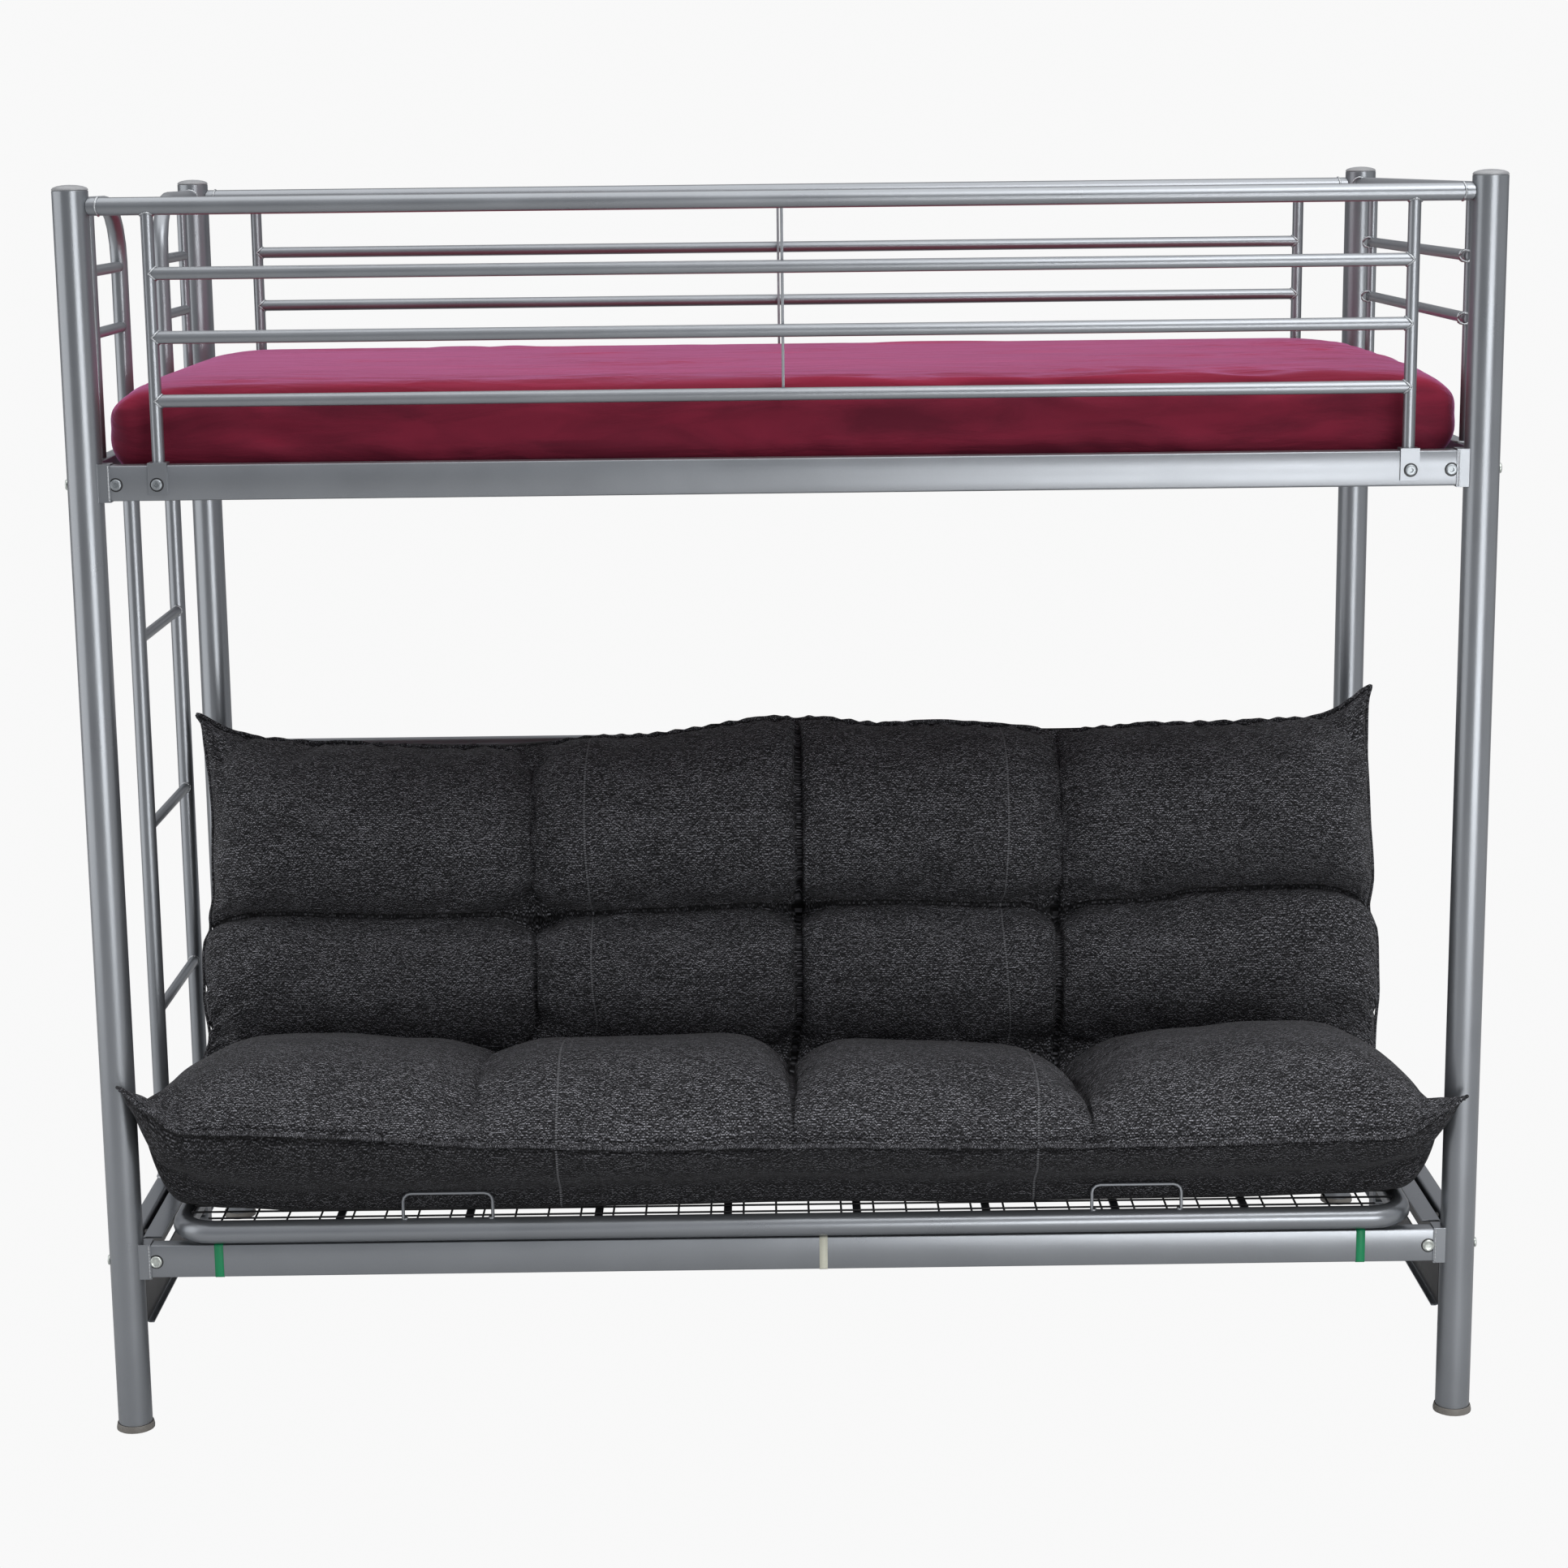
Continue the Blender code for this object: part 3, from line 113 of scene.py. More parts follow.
class Shader:
    """A material and short calls that add nodes to it."""

    def __init__(self, name, tree=None):
        if tree is None:
            self.material = bpy.data.materials.new(name)
            self.material.use_nodes = True
            tree = self.material.node_tree
            self.bsdf = tree.nodes["Principled BSDF"]
        self.tree = tree

    def node(self, kind, inputs=(), **settings):
        node = self.tree.nodes.new(kind)
        set_all(node, **settings)
        for key, value in dict(inputs).items():
            self.feed(node.inputs[key], value)
        return node

    def feed(self, socket, value):
        if isinstance(value, bpy.types.NodeSocket):
            self.tree.links.new(value, socket)
        else:
            socket.default_value = value

    def surface(self, **inputs):
        for key, value in inputs.items():
            self.feed(self.bsdf.inputs[key.replace("_", " ")], value)

    def place(self):
        return self.node("ShaderNodeTexCoord").outputs["Object"]

    def flat_place(self):
        return self.node("ShaderNodeUVMap", uv_map="cloth").outputs["UV"]

    def stretch(self, vector, scale):
        return self.node("ShaderNodeMapping", {"Vector": vector, "Scale": scale}).outputs[0]

    def noise(self, vector, scale, detail=2.0, roughness=0.5, distortion=0.0):
        inputs = {"Vector": vector, "Scale": scale, "Detail": detail}
        inputs.update({"Roughness": roughness, "Distortion": distortion})
        return self.node("ShaderNodeTexNoise", inputs).outputs["Fac"]

    def cells(self, vector, across, along):
        """One random value for each crossing of the threads."""
        scaled = self.stretch(vector, (1 / across, 1 / along, 1.0))
        grid = self.node("ShaderNodeVectorMath", {0: scaled}, operation="FLOOR")
        return self.node("ShaderNodeTexWhiteNoise", {"Vector": grid.outputs[0]}).outputs["Value"]

    def woven(self, flat, across, along):
        """Each crossing set against the one in the next row: lively close by, even from afar."""
        step = {0: flat, 1: (0.0, along, 0.0)}
        next_row = self.node("ShaderNodeVectorMath", step, operation="ADD").outputs[0]
        pair = (self.cells(place, across, along) for place in (flat, next_row))
        return self.calc("MULTIPLY_ADD", self.calc("SUBTRACT", *pair), 0.5, 0.5)

    def dashes(self, flat, way, run, pitch):
        """Random values in dashes along one way of the cloth, each row shifted on its own."""
        row = self.cells(flat, *((1e3, pitch) if way == 0 else (pitch, 1e3)))
        parts = [self.axis(flat, 0), self.axis(flat, 1)]
        parts[way] = self.plus(parts[way], self.times(row, run * ROW_SHIFT))
        moved = self.node("ShaderNodeCombineXYZ", {"X": parts[0], "Y": parts[1]}).outputs[0]
        return self.cells(moved, *((run, pitch) if way == 0 else (pitch, run)))

    def ridges(self, flat, index, pitch):
        """Threads side by side: 1 on the middle of each, 0 in the gap between two."""
        wave = self.calc("SINE", self.times(self.axis(flat, index), math.pi / pitch))
        return self.times(wave, wave)

    def calc(self, operation, *values):
        return self.node("ShaderNodeMath", enumerate(values), operation=operation).outputs[0]

    def plus(self, a, b):
        return self.calc("ADD", a, b)

    def times(self, a, b):
        return self.calc("MULTIPLY", a, b)

    def apart(self, a, b):
        return self.calc("ABSOLUTE", self.calc("SUBTRACT", a, b))

    def remap(self, value, from_low, from_high, to_low=0.0, to_high=1.0, kind="LINEAR"):
        inputs = {"Value": value, "From Min": from_low, "From Max": from_high}
        inputs.update({"To Min": to_low, "To Max": to_high})
        return self.node("ShaderNodeMapRange", inputs, interpolation_type=kind).outputs[0]

    def ease(self, value, from_low, from_high, to_low=0.0, to_high=1.0):
        return self.remap(value, from_low, from_high, to_low, to_high, "SMOOTHSTEP")

    def ramp(self, value, *stops):
        node = self.node("ShaderNodeValToRGB", {"Fac": value})
        bar = node.color_ramp
        while len(bar.elements) < len(stops):
            bar.elements.new(0.5)
        for element, (at, color) in zip(bar.elements, stops):
            element.position = at
            element.color = (*color, 1.0)
        return node.outputs["Color"]

    def blend(self, share, low, high):
        node = self.node("ShaderNodeMix", data_type="RGBA")
        for key, value in (("Factor", share), ("A", low), ("B", high)):
            self.feed(node.inputs[key], (*value, 1.0) if isinstance(value, tuple) else value)
        return node.outputs["Result"]

    def mottled(self, share, dim, base, low=0.3, high=0.7):
        """The base tone, dimmed where the share is low."""
        return self.blend(self.remap(share, low, high), tuple(c * dim for c in base), base)

    def bump(self, height, strength, distance, under=None):
        inputs = {"Height": height, "Strength": strength, "Distance": distance}
        if under is not None:
            inputs["Normal"] = under
        return self.node("ShaderNodeBump", inputs).outputs[0]

    def axis(self, vector, index):
        return self.node("ShaderNodeSeparateXYZ", {"Vector": vector}).outputs[index]


SILVER_BASE = (0.275, 0.29, 0.31)
SILVER_ROUGHNESS = 0.30
SILVER_METALLIC = 0.82
PLATE_FLANGE = 0.0035
ROW_SHIFT = 7.3


def silver_paint(name):
    """Silver powder coat: fine metal flake, a little orange peel, and soft cloudiness."""
    s = Shader(name)
    place = s.place()
    cloud = s.noise(place, 9.0, 3.0)
    flake = s.noise(place, 2600.0, 1.0)
    bright = tuple(c * 1.5 for c in SILVER_BASE)
    shine = s.remap(flake, 0.58, 0.75, 0.0, 0.35)
    rough = s.remap(cloud, 0.3, 0.7, SILVER_ROUGHNESS - 0.03, SILVER_ROUGHNESS + 0.03)
    s.surface(
        Base_Color=s.blend(shine, s.mottled(cloud, 0.94, SILVER_BASE), bright),
        Metallic=SILVER_METALLIC,
        Roughness=s.plus(rough, s.remap(flake, 0.4, 0.8, 0.0, 0.08)),
        Normal=s.bump(flake, 0.015, 0.0002, s.bump(s.noise(place, 420.0), 0.05, 0.0003)),
    )
    return s


def moulded_plastic(name, base, roughness):
    s = Shader(name)
    place = s.place()
    cloud = s.noise(place, 60.0, 3.0)
    s.surface(
        Base_Color=s.mottled(cloud, 0.85, base),
        Roughness=s.remap(cloud, 0.3, 0.7, roughness - 0.06, roughness + 0.06),
        Normal=s.bump(s.noise(place, 1500.0), 0.12, 0.0003),
    )
    return s.material


def bare_metal(name, base, roughness):
    """Zinc or weld metal: scratched and a little mottled."""
    s = Shader(name)
    place = s.place()
    mottle = s.noise(place, 240.0, 4.0, 0.6)
    scratch = s.noise(s.stretch(place, (3.0, 3.0, 60.0)), 90.0, 3.0)
    s.surface(
        Base_Color=s.mottled(mottle, 0.7, base, 0.35),
        Metallic=0.9,
        Roughness=s.remap(mottle, 0.3, 0.7, roughness - 0.08, roughness + 0.10),
        Normal=s.bump(s.plus(mottle, scratch), 0.15, 0.0004),
    )
    return s.material


def black_coat(name):
    s = Shader(name)
    place = s.place()
    cloud = s.noise(place, 25.0, 3.0)
    s.surface(
        Base_Color=s.ramp(cloud, (0.3, (0.006, 0.006, 0.007)), (0.7, (0.014, 0.014, 0.016))),
        Roughness=s.remap(cloud, 0.3, 0.7, 0.34, 0.46),
        Normal=s.bump(s.noise(place, 500.0), 0.12, 0.0004),
    )
    return s.material


def side_plate_coat(name):
    """The folded plate is silver on its flanges and black between them."""
    low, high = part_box("side_plate_left")
    s = silver_paint(name)
    height = s.axis(s.place(), 2)
    above = s.calc("GREATER_THAN", height, low.z + PLATE_FLANGE)
    inside = s.times(above, s.calc("LESS_THAN", height, high.z - PLATE_FLANGE))
    silver_tone = s.bsdf.inputs["Base Color"].links[0].from_socket
    s.surface(
        Base_Color=s.blend(inside, silver_tone, (0.010, 0.010, 0.011)),
        Metallic=s.remap(inside, 0.0, 1.0, SILVER_METALLIC, 0.1),
    )
    return s.material


def shade_smooth(mesh):
    mesh.polygons.foreach_set("use_smooth", [True] * len(mesh.polygons))


def mesh_object(name, verts, faces, material):
    mesh = bpy.data.meshes.new(name)
    mesh.from_pydata(np.asarray(verts, float).tolist(), [], [tuple(map(int, f)) for f in faces])
    mesh.materials.append(material)
    shade_smooth(mesh)
    return put_in_scene(name, mesh)


def read_all(items, name, width=3):
    """One value of each item, or a vector's values, in one flat array."""
    values = np.empty(len(items) * width)
    items.foreach_get(name, values)
    return values


def joined(parts):
    """One set of vertices and faces out of several."""
    verts, faces, start = [], [], 0
    for part_verts, part_faces in parts:
        verts.extend(np.asarray(part_verts, float).tolist())
        faces.extend([tuple(i + start for i in face) for face in part_faces])
        start += len(part_verts)
    return verts, faces


def ring_faces(rings, sides, closed=False):
    """Quads between rings of this many points, and caps on the two ends of an open row."""
    faces = []
    for i in range(rings if closed else rings - 1):
        a, b = i * sides, (i + 1) % rings * sides
        for k in range(sides):
            n = (k + 1) % sides
            faces.append((a + k, a + n, b + n, b + k))
    if not closed:
        faces.append(tuple(range(sides))[::-1])
        faces.append(tuple((rings - 1) * sides + k for k in range(sides)))
    return faces


def sweep(points, radius, sides=8, closed=False):
    """A tube along the points. The radius is one value or one for each point."""
    points = np.asarray(points, float)
    radii = np.broadcast_to(np.asarray(radius, float), (len(points),))
    if closed:
        ahead, behind = np.roll(points, -1, 0), np.roll(points, 1, 0)
    else:
        ahead = np.vstack((points[1:], points[-1:]))
        behind = np.vstack((points[:1], points[:-1]))
    along = ahead - behind
    along /= np.linalg.norm(along, axis=1, keepdims=True)
    side = np.cross(along[0], Z_AXIS)
    if np.linalg.norm(side) < 0.2:
        side = np.cross(along[0], Y_AXIS)
    rings = []
    angles = np.arange(sides) * math.tau / sides
    for place, direction, r in zip(points, along, radii):
        side = side - direction * np.dot(side, direction)
        side /= np.linalg.norm(side)
        up = np.cross(direction, side)
        ring = np.outer(np.cos(angles), side) + np.outer(np.sin(angles), up)
        rings.append(place + ring * r)
    return np.vstack(rings), ring_faces(len(points), sides, closed)


SPLINE_STEPS = 24


def smooth_curve(points):
    """Many points of a smooth curve through the given ones, and the length up to each."""
    points = np.asarray(points, float)
    ends = np.vstack((2 * points[0] - points[1], points, 2 * points[-1] - points[-2]))
    fine = []
    for p0, p1, p2, p3 in zip(ends, ends[1:], ends[2:], ends[3:]):
        t0, t1 = 0.0, np.linalg.norm(p1 - p0) ** 0.5
        t2 = t1 + np.linalg.norm(p2 - p1) ** 0.5
        t3 = t2 + np.linalg.norm(p3 - p2) ** 0.5
        for t in np.linspace(t1, t2, SPLINE_STEPS, endpoint=False):
            a1 = (t1 - t) / (t1 - t0) * p0 + (t - t0) / (t1 - t0) * p1
            a2 = (t2 - t) / (t2 - t1) * p1 + (t - t1) / (t2 - t1) * p2
            a3 = (t3 - t) / (t3 - t2) * p2 + (t - t2) / (t3 - t2) * p3
            b1 = (t2 - t) / (t2 - t0) * a1 + (t - t0) / (t2 - t0) * a2
            b2 = (t3 - t) / (t3 - t1) * a2 + (t - t1) / (t3 - t1) * a3
            fine.append((t2 - t) / (t2 - t1) * b1 + (t - t1) / (t2 - t1) * b2)
    fine = np.vstack((fine, points[-1:]))
    steps = np.linalg.norm(np.diff(fine, axis=0), axis=1)
    return fine, np.concatenate(([0.0], np.cumsum(steps)))


def share_at(points, number):
    """How far along the curve the point of this number lies, 0 to 1."""
    length = smooth_curve(points)[1]
    return float(length[number * SPLINE_STEPS] / length[-1])


def spline_through(points, shares):
    """Points of a smooth curve through the given ones, at these shares of its length."""
    fine, length = smooth_curve(points)
    at = np.asarray(shares) * length[-1]
    return np.column_stack([np.interp(at, length, fine[:, i]) for i in range(2)])


def smooth_table(table, x):
    """Values between the table's points, eased so that there are no kinks."""
    xs, ys = (np.array(column) for column in zip(*table))
    x = np.clip(x, xs[0], xs[-1])
    index = np.clip(np.searchsorted(xs, x, side="right") - 1, 0, len(xs) - 2)
    share = (x - xs[index]) / (xs[index + 1] - xs[index])
    ease = share * share * (3 - 2 * share)
    return ys[index] + (ys[index + 1] - ys[index]) * ease


def lumps(shape, seed, cells, octaves=3):
    """Smooth random relief over a grid, about -1 to 1."""
    random = np.random.default_rng(seed)
    rows, columns = shape
    total = np.zeros(shape)
    for octave in range(octaves):
        r, c = (max(2, int(n * 2**octave)) for n in cells)
        coarse = random.uniform(-1, 1, (r + 1, c + 1))
        y, x = np.linspace(0, r - 1e-6, rows), np.linspace(0, c - 1e-6, columns)
        iy, ix = y.astype(int), x.astype(int)
        fy, fx = y - iy, x - ix
        fy, fx = fy * fy * (3 - 2 * fy), fx * fx * (3 - 2 * fx)
        low = coarse[iy][:, ix] * (1 - fx) + coarse[iy][:, ix + 1] * fx
        high = coarse[iy + 1][:, ix] * (1 - fx) + coarse[iy + 1][:, ix + 1] * fx
        total += (low * (1 - fy)[:, None] + high * fy[:, None]) * 0.5**octave
    return total


# Section of the folded futon, as distance behind the front posts and height.
# Both halves run from the front seam to the seam along the top of the back.
FRONT_SEAM = (-0.085, 0.455)
TOP_SEAM = (0.640, 0.938)
UPPER_SECTION = (
    FRONT_SEAM, (-0.072, 0.490), (-0.015, 0.520), (0.100, 0.524), (0.250, 0.496), (0.400, 0.452),
    (0.475, 0.424), (0.455, 0.530), (0.463, 0.600), (0.482, 0.657), (0.522, 0.668),
    (0.482, 0.698), (0.469, 0.740), (0.482, 0.802), (0.522, 0.880), (0.584, 0.928), TOP_SEAM,
)
FOLD_POINT = 6
MID_CREASE_POINT = 10
LOWER_SECTION = (
    FRONT_SEAM, (-0.062, 0.402), (-0.030, 0.378), (-0.009, 0.360), (-0.006, 0.338),
    (0.020, 0.3265), (0.250, 0.3260), (0.500, 0.3262), (0.530, 0.3275), (0.548, 0.340),
    (0.5585, 0.352), (0.566, 0.376), (0.573, 0.400), (0.690, 0.870), (0.694, 0.915), TOP_SEAM,
)

# Heights along the bed, from the left end to the right one
SEAM_RISE = (
    (-0.95, 0.028), (-0.79, 0.023), (-0.635, 0.015), (-0.44, 0.001), (-0.2, -0.007),
    (0.01, -0.005), (0.32, -0.011), (0.55, -0.010), (0.84, -0.004), (0.96, 0.008),
)
LOW_RISE = (
    (-0.95, 0.069), (-0.90, 0.034), (-0.84, 0.012), (-0.72, 0.0), (-0.45, 0.0), (-0.21, 0.003),
    (0.01, 0.008), (0.27, 0.002), (0.63, 0.004), (0.83, 0.012), (0.90, 0.028), (0.95, 0.049),
)
CREST_RISE = (
    (-0.885, -0.006), (-0.81, 0.014), (-0.69, 0.014), (-0.57, 0.004), (-0.45, -0.012),
    (-0.36, 0.002), (-0.21, 0.004), (-0.09, 0.007), (0.01, 0.002), (0.21, -0.009), (0.32, -0.012),
    (0.43, -0.014), (0.52, -0.001), (0.60, 0.006), (0.72, 0.014), (0.82, 0.014), (0.88, 0.0),
    (0.95, -0.024),
)
MID_RISE = (
    (-0.875, -0.010), (-0.627, -0.019), (-0.47, -0.018), (-0.405, -0.032), (-0.34, -0.018),
    (-0.222, -0.014), (-0.05, -0.008), (0.014, -0.016), (0.08, -0.006), (0.169, -0.0055),
    (0.34, -0.012), (0.375, -0.012), (0.435, -0.025), (0.50, -0.010), (0.577, -0.007),
    (0.668, 0.009), (0.80, 0.013), (0.93, 0.016),
)
TOP_RISE = (
    (-0.95, 0.0), (-0.90, -0.012), (-0.75, -0.026), (-0.48, -0.034), (-0.27, -0.018),
    (0.02, 0.012), (0.18, -0.002), (0.44, -0.014), (0.70, -0.008), (0.90, 0.0), (0.95, 0.012),
)
# Half lengths of the two ends, by share of the way along the section
LEFT_END = (
    (0.0, 0.960), (0.04, 0.956), (0.08, 0.9505), (0.45, 0.950), (0.50, 0.945), (0.545, 0.932),
    (0.60, 0.940), (0.665, 0.942), (0.716, 0.934), (0.76, 0.924), (0.84, 0.924), (0.96, 0.938),
    (1.0, 0.946),
)
RIGHT_END = (
    (0.0, 0.962), (0.04, 0.957), (0.08, 0.9505), (0.45, 0.9505), (0.50, 0.948), (0.545, 0.950),
    (0.60, 0.956), (0.665, 0.957), (0.716, 0.947), (0.76, 0.951), (0.84, 0.947), (0.96, 0.946),
    (1.0, 0.948),
)
# Creases from front to back. On the seat, then low and high on the back: place along the bed,
# depth of the wide hollow, depth of the sharp fold in it
CREASES = (
    ((-0.456, 0.008, 0.003), (-0.405, 0.010, 0.007), (-0.408, 0.030, 0.001)),
    ((0.002, 0.018, 0.018), (0.018, 0.008, 0.017), (0.020, 0.007, 0.016)),
    ((0.430, 0.028, 0.012), (0.435, 0.008, 0.015), (0.440, 0.034, 0.001)),
)
HOLLOW_WIDTH = 0.045
FOLD_WIDTH = 0.0065
SMALL_CREASES = ((-0.659, 0.006, 0.22), (0.493, 0.003, 0.10), (0.800, 0.004, 0.16))
# Short folds in the cover, as start and end in its pattern, depth and width
SHORT_FOLDS = (
    (-0.950, 0.640, -0.850, 0.664, 0.0060, 0.0065),
    (-0.950, 0.700, -0.870, 0.664, 0.0035, 0.0070),
    (-0.950, 0.600, -0.885, 0.615, 0.0040, 0.0060),
    (-0.935, 1.120, -0.895, 0.980, 0.0045, 0.0075),
    (-0.900, 1.130, -0.840, 1.060, 0.0025, 0.0060),
    (0.935, 1.120, 0.890, 1.000, 0.0040, 0.0080),
    (0.950, 0.655, 0.880, 0.645, 0.0035, 0.0065),
    (0.950, 0.790, 0.880, 0.800, 0.0030, 0.0070),
    (-0.935, 0.020, -0.860, 0.090, 0.0035, 0.0080),
    (-0.820, 0.015, -0.790, 0.075, 0.0025, 0.0060),
    (0.935, 0.020, 0.850, 0.080, 0.0035, 0.0080),
    (0.830, 0.015, 0.815, 0.085, 0.0025, 0.0060),
    (-0.340, 0.900, -0.390, 0.840, 0.0022, 0.0070),
    (-0.300, 0.870, -0.385, 0.832, 0.0018, 0.0060),
    (0.500, 0.900, 0.445, 0.845, 0.0024, 0.0070),
    (0.400, 0.960, 0.418, 0.870, 0.0040, 0.0080),
)
TUFT_DEPTH = 0.017
TUFT_HEIGHT = 0.030
TUFT_WIDTH = 0.055
MID_CREASE_DEPTH = 0.005
PUFF_SEED = 7
PUFF_CELLS = (7, 11)
PUFF_HEIGHT = 0.0035
# How high between the lower and the upper face the end seams lie, at the left and right
END_SEAM_LEVELS = (0.70, 0.58)
EAR_TIPS = {
    ("left", 0.0): (-0.9680, -0.056, 0.540),
    ("right", 0.0): (0.9750, -0.052, 0.500),
    ("left", 1.0): (-0.9520, 0.624, 0.966),
    ("right", 1.0): (0.9520, 0.624, 0.990),
}
EAR_REACH = 0.078
EAR_POINTEDNESS = 1.1
GRID = 0.0145
FINE_GRID = 0.0045
FINE_REACH = 0.020
PUFF_LIMIT = 0.022
PIPING_R = 0.0027
PIPING_SIDES = 8
PIPING_STEP = 0.0031
PIPING_OUT = 0.0016
PIPING_WOBBLE = 0.0006
PIPING_TWIST = 0.0062


def graded(anchors, low, high):
    """Steps of about GRID between the limits, and finer ones round each anchor."""
    places = [low]
    while places[-1] < high:
        here, ahead = places[-1], places[-1] + FINE_GRID
        near = min(min(abs(here - anchor), abs(ahead - anchor)) for anchor in anchors)
        share = np.clip((near - FINE_REACH * 0.5) / FINE_REACH, 0, 1)
        places.append(ahead + (GRID - FINE_GRID) * share)
    places = np.array(places)
    return low + (places - low) * (high - low) / (places[-1] - low)


SECTION_LENGTH = 1.15
NORMAL_REACH = 0.028
HALF_LENGTH = 0.95
FOLD_AT = share_at(UPPER_SECTION, FOLD_POINT)
MID_CREASE_AT = share_at(UPPER_SECTION, MID_CREASE_POINT)
NOMINAL_X = tuple(low_back[0] for _, low_back, _ in CREASES)
COLUMN_ANCHORS = (-HALF_LENGTH, *NOMINAL_X, HALF_LENGTH)
COLUMNS_AT = graded(COLUMN_ANCHORS, -HALF_LENGTH, HALF_LENGTH)
ROW_ANCHORS = (0.0, FOLD_AT * SECTION_LENGTH, MID_CREASE_AT * SECTION_LENGTH, SECTION_LENGTH)
ROWS_AT = graded(ROW_ANCHORS, 0.0, SECTION_LENGTH) / SECTION_LENGTH


def bell(x, centre, width):
    return np.exp(-(((x - centre) / width) ** 2))


def grow(x, start, width, floor=0.0):
    """From 0 at start to 1 after this width, and never under floor."""
    return np.clip((x - start) / width, floor, 1.0)


def fade(x, end, width, floor=0.0):
    """From 1 down to 0 over this width, which stops at end, and never under floor."""
    return np.clip((end - x) / width, floor, 1.0)


def end_share(distance, reach, fullness):
    """1 inside the pad, falling to 0 at its end."""
    d = np.clip(1.0 - distance / reach, 0.0, 1.0)
    return ((1.0 - d**fullness) ** 0.62)[:, :, None]


def along_back(s, seat, low, high):
    """A value that changes from the seat's to the lower back's and then the upper back's."""
    first = grow(s - FOLD_AT, -0.02, 0.06)
    return seat + (low - seat) * first + (high - low) * grow(s, MID_CREASE_AT, 0.03)


def crease_values(s):
    """For each crease its place along the bed, the depth of its hollow and that of its fold."""
    return [[along_back(s, *values) for values in zip(*crease)] for crease in CREASES]


def crease_depth(s, x):
    """How far the quilting draws the upper face in at each place."""
    face = grow(s, 0.02, 0.11, 0.12)
    tuft = bell(s, MID_CREASE_AT, TUFT_HEIGHT)
    depth = np.zeros_like(x)
    for at, hollow, fold in crease_values(s):
        off = np.abs(x - at)
        depth += face * (hollow * bell(off, 0.0, HOLLOW_WIDTH) + fold * np.exp(-off / FOLD_WIDTH))
        depth += TUFT_DEPTH * tuft * bell(off, 0.0, TUFT_WIDTH)
    for at, deep, until in SMALL_CREASES:
        depth += deep * np.exp(-np.abs(x - at) / FOLD_WIDTH / 1.6) * fade(s, until, 0.1)
    along = np.abs(s - MID_CREASE_AT) * SECTION_LENGTH
    depth += MID_CREASE_DEPTH * np.exp(-along / FOLD_WIDTH)
    return depth * fade(s, 1.0, 0.05, 0.15)


def futon_grid():
    """Places of the upper and the lower face, each as rows along the section by columns."""
    upper, lower = (spline_through(each, ROWS_AT) for each in (UPPER_SECTION, LOWER_SECTION))
    columns = len(COLUMNS_AT)
    s = np.repeat(ROWS_AT[:, None], columns, 1)
    left, right = (smooth_table(table, ROWS_AT) for table in (LEFT_END, RIGHT_END))
    x = np.empty(s.shape)
    for r, share in enumerate(ROWS_AT):
        places = (-left[r], *(at for at, _, _ in crease_values(share)), right[r])
        x[r] = np.interp(COLUMNS_AT, COLUMN_ANCHORS, places)
    inward = np.minimum(x + left[:, None], right[:, None] - x)

    slope = np.gradient(upper, ROWS_AT, axis=0)
    slope /= np.linalg.norm(slope, axis=1, keepdims=True)
    out = np.column_stack((-slope[:, 1], slope[:, 0]))
    out = bell(ROWS_AT[:, None], ROWS_AT[None, :], NORMAL_REACH) @ out
    out = (out / np.linalg.norm(out, axis=1, keepdims=True))[:, None, :]
    up, low = (np.repeat(face[:, None, :], columns, 1) for face in (upper, lower))

    up -= out * crease_depth(s, x)[:, :, None]
    up_rises = (
        (SEAM_RISE, np.clip(1 - s / 0.12, 0, 1) ** 1.5),
        (CREST_RISE, grow(s, 0, 0.10) * fade(s, FOLD_AT + 0.03, 0.12)),
        (TOP_RISE, grow(s, 0.80, 0.20) ** 1.3),
        (MID_RISE, bell(s, MID_CREASE_AT, 0.060)),
    )
    low_rises = (
        (SEAM_RISE, np.clip(1 - s / 0.06, 0, 1)),
        (LOW_RISE, bell(s, 0.085, 0.050)),
        (TOP_RISE, grow(s, 0.9, 0.1)),
    )
    for face, rises in ((up, up_rises), (low, low_rises)):
        for table, where in rises:
            face[:, :, 1] += smooth_table(table, x) * where

    puff = lumps(s.shape, PUFF_SEED, PUFF_CELLS)[:, :, None]
    up += out * (puff * PUFF_HEIGHT * end_share(inward, 0.12, 2.0))
    level = np.where(x < 0, *END_SEAM_LEVELS) - 0.14 * grow(s, 0.5, 0.2)
    edge = low + (up - low) * level[:, :, None]
    up = edge + (up - edge) * end_share(inward, 0.135, 2.2)
    low = edge + (low - edge) * end_share(inward, 0.055, 2.4)
    return s, x, up, low


def pull_ears(x, face):
    """Draws the four corners out to the sewn points that stand at them."""
    flat = np.dstack((x, face))
    for (side, at), tip in EAR_TIPS.items():
        corner = flat[0 if at == 0.0 else -1, 0 if side == "left" else -1]
        away = np.linalg.norm(flat - corner, axis=2)
        share = np.clip(1 - away / EAR_REACH, 0, 1) ** EAR_POINTEDNESS
        flat = flat + (np.array(tip) - corner) * share[:, :, None]
    return flat


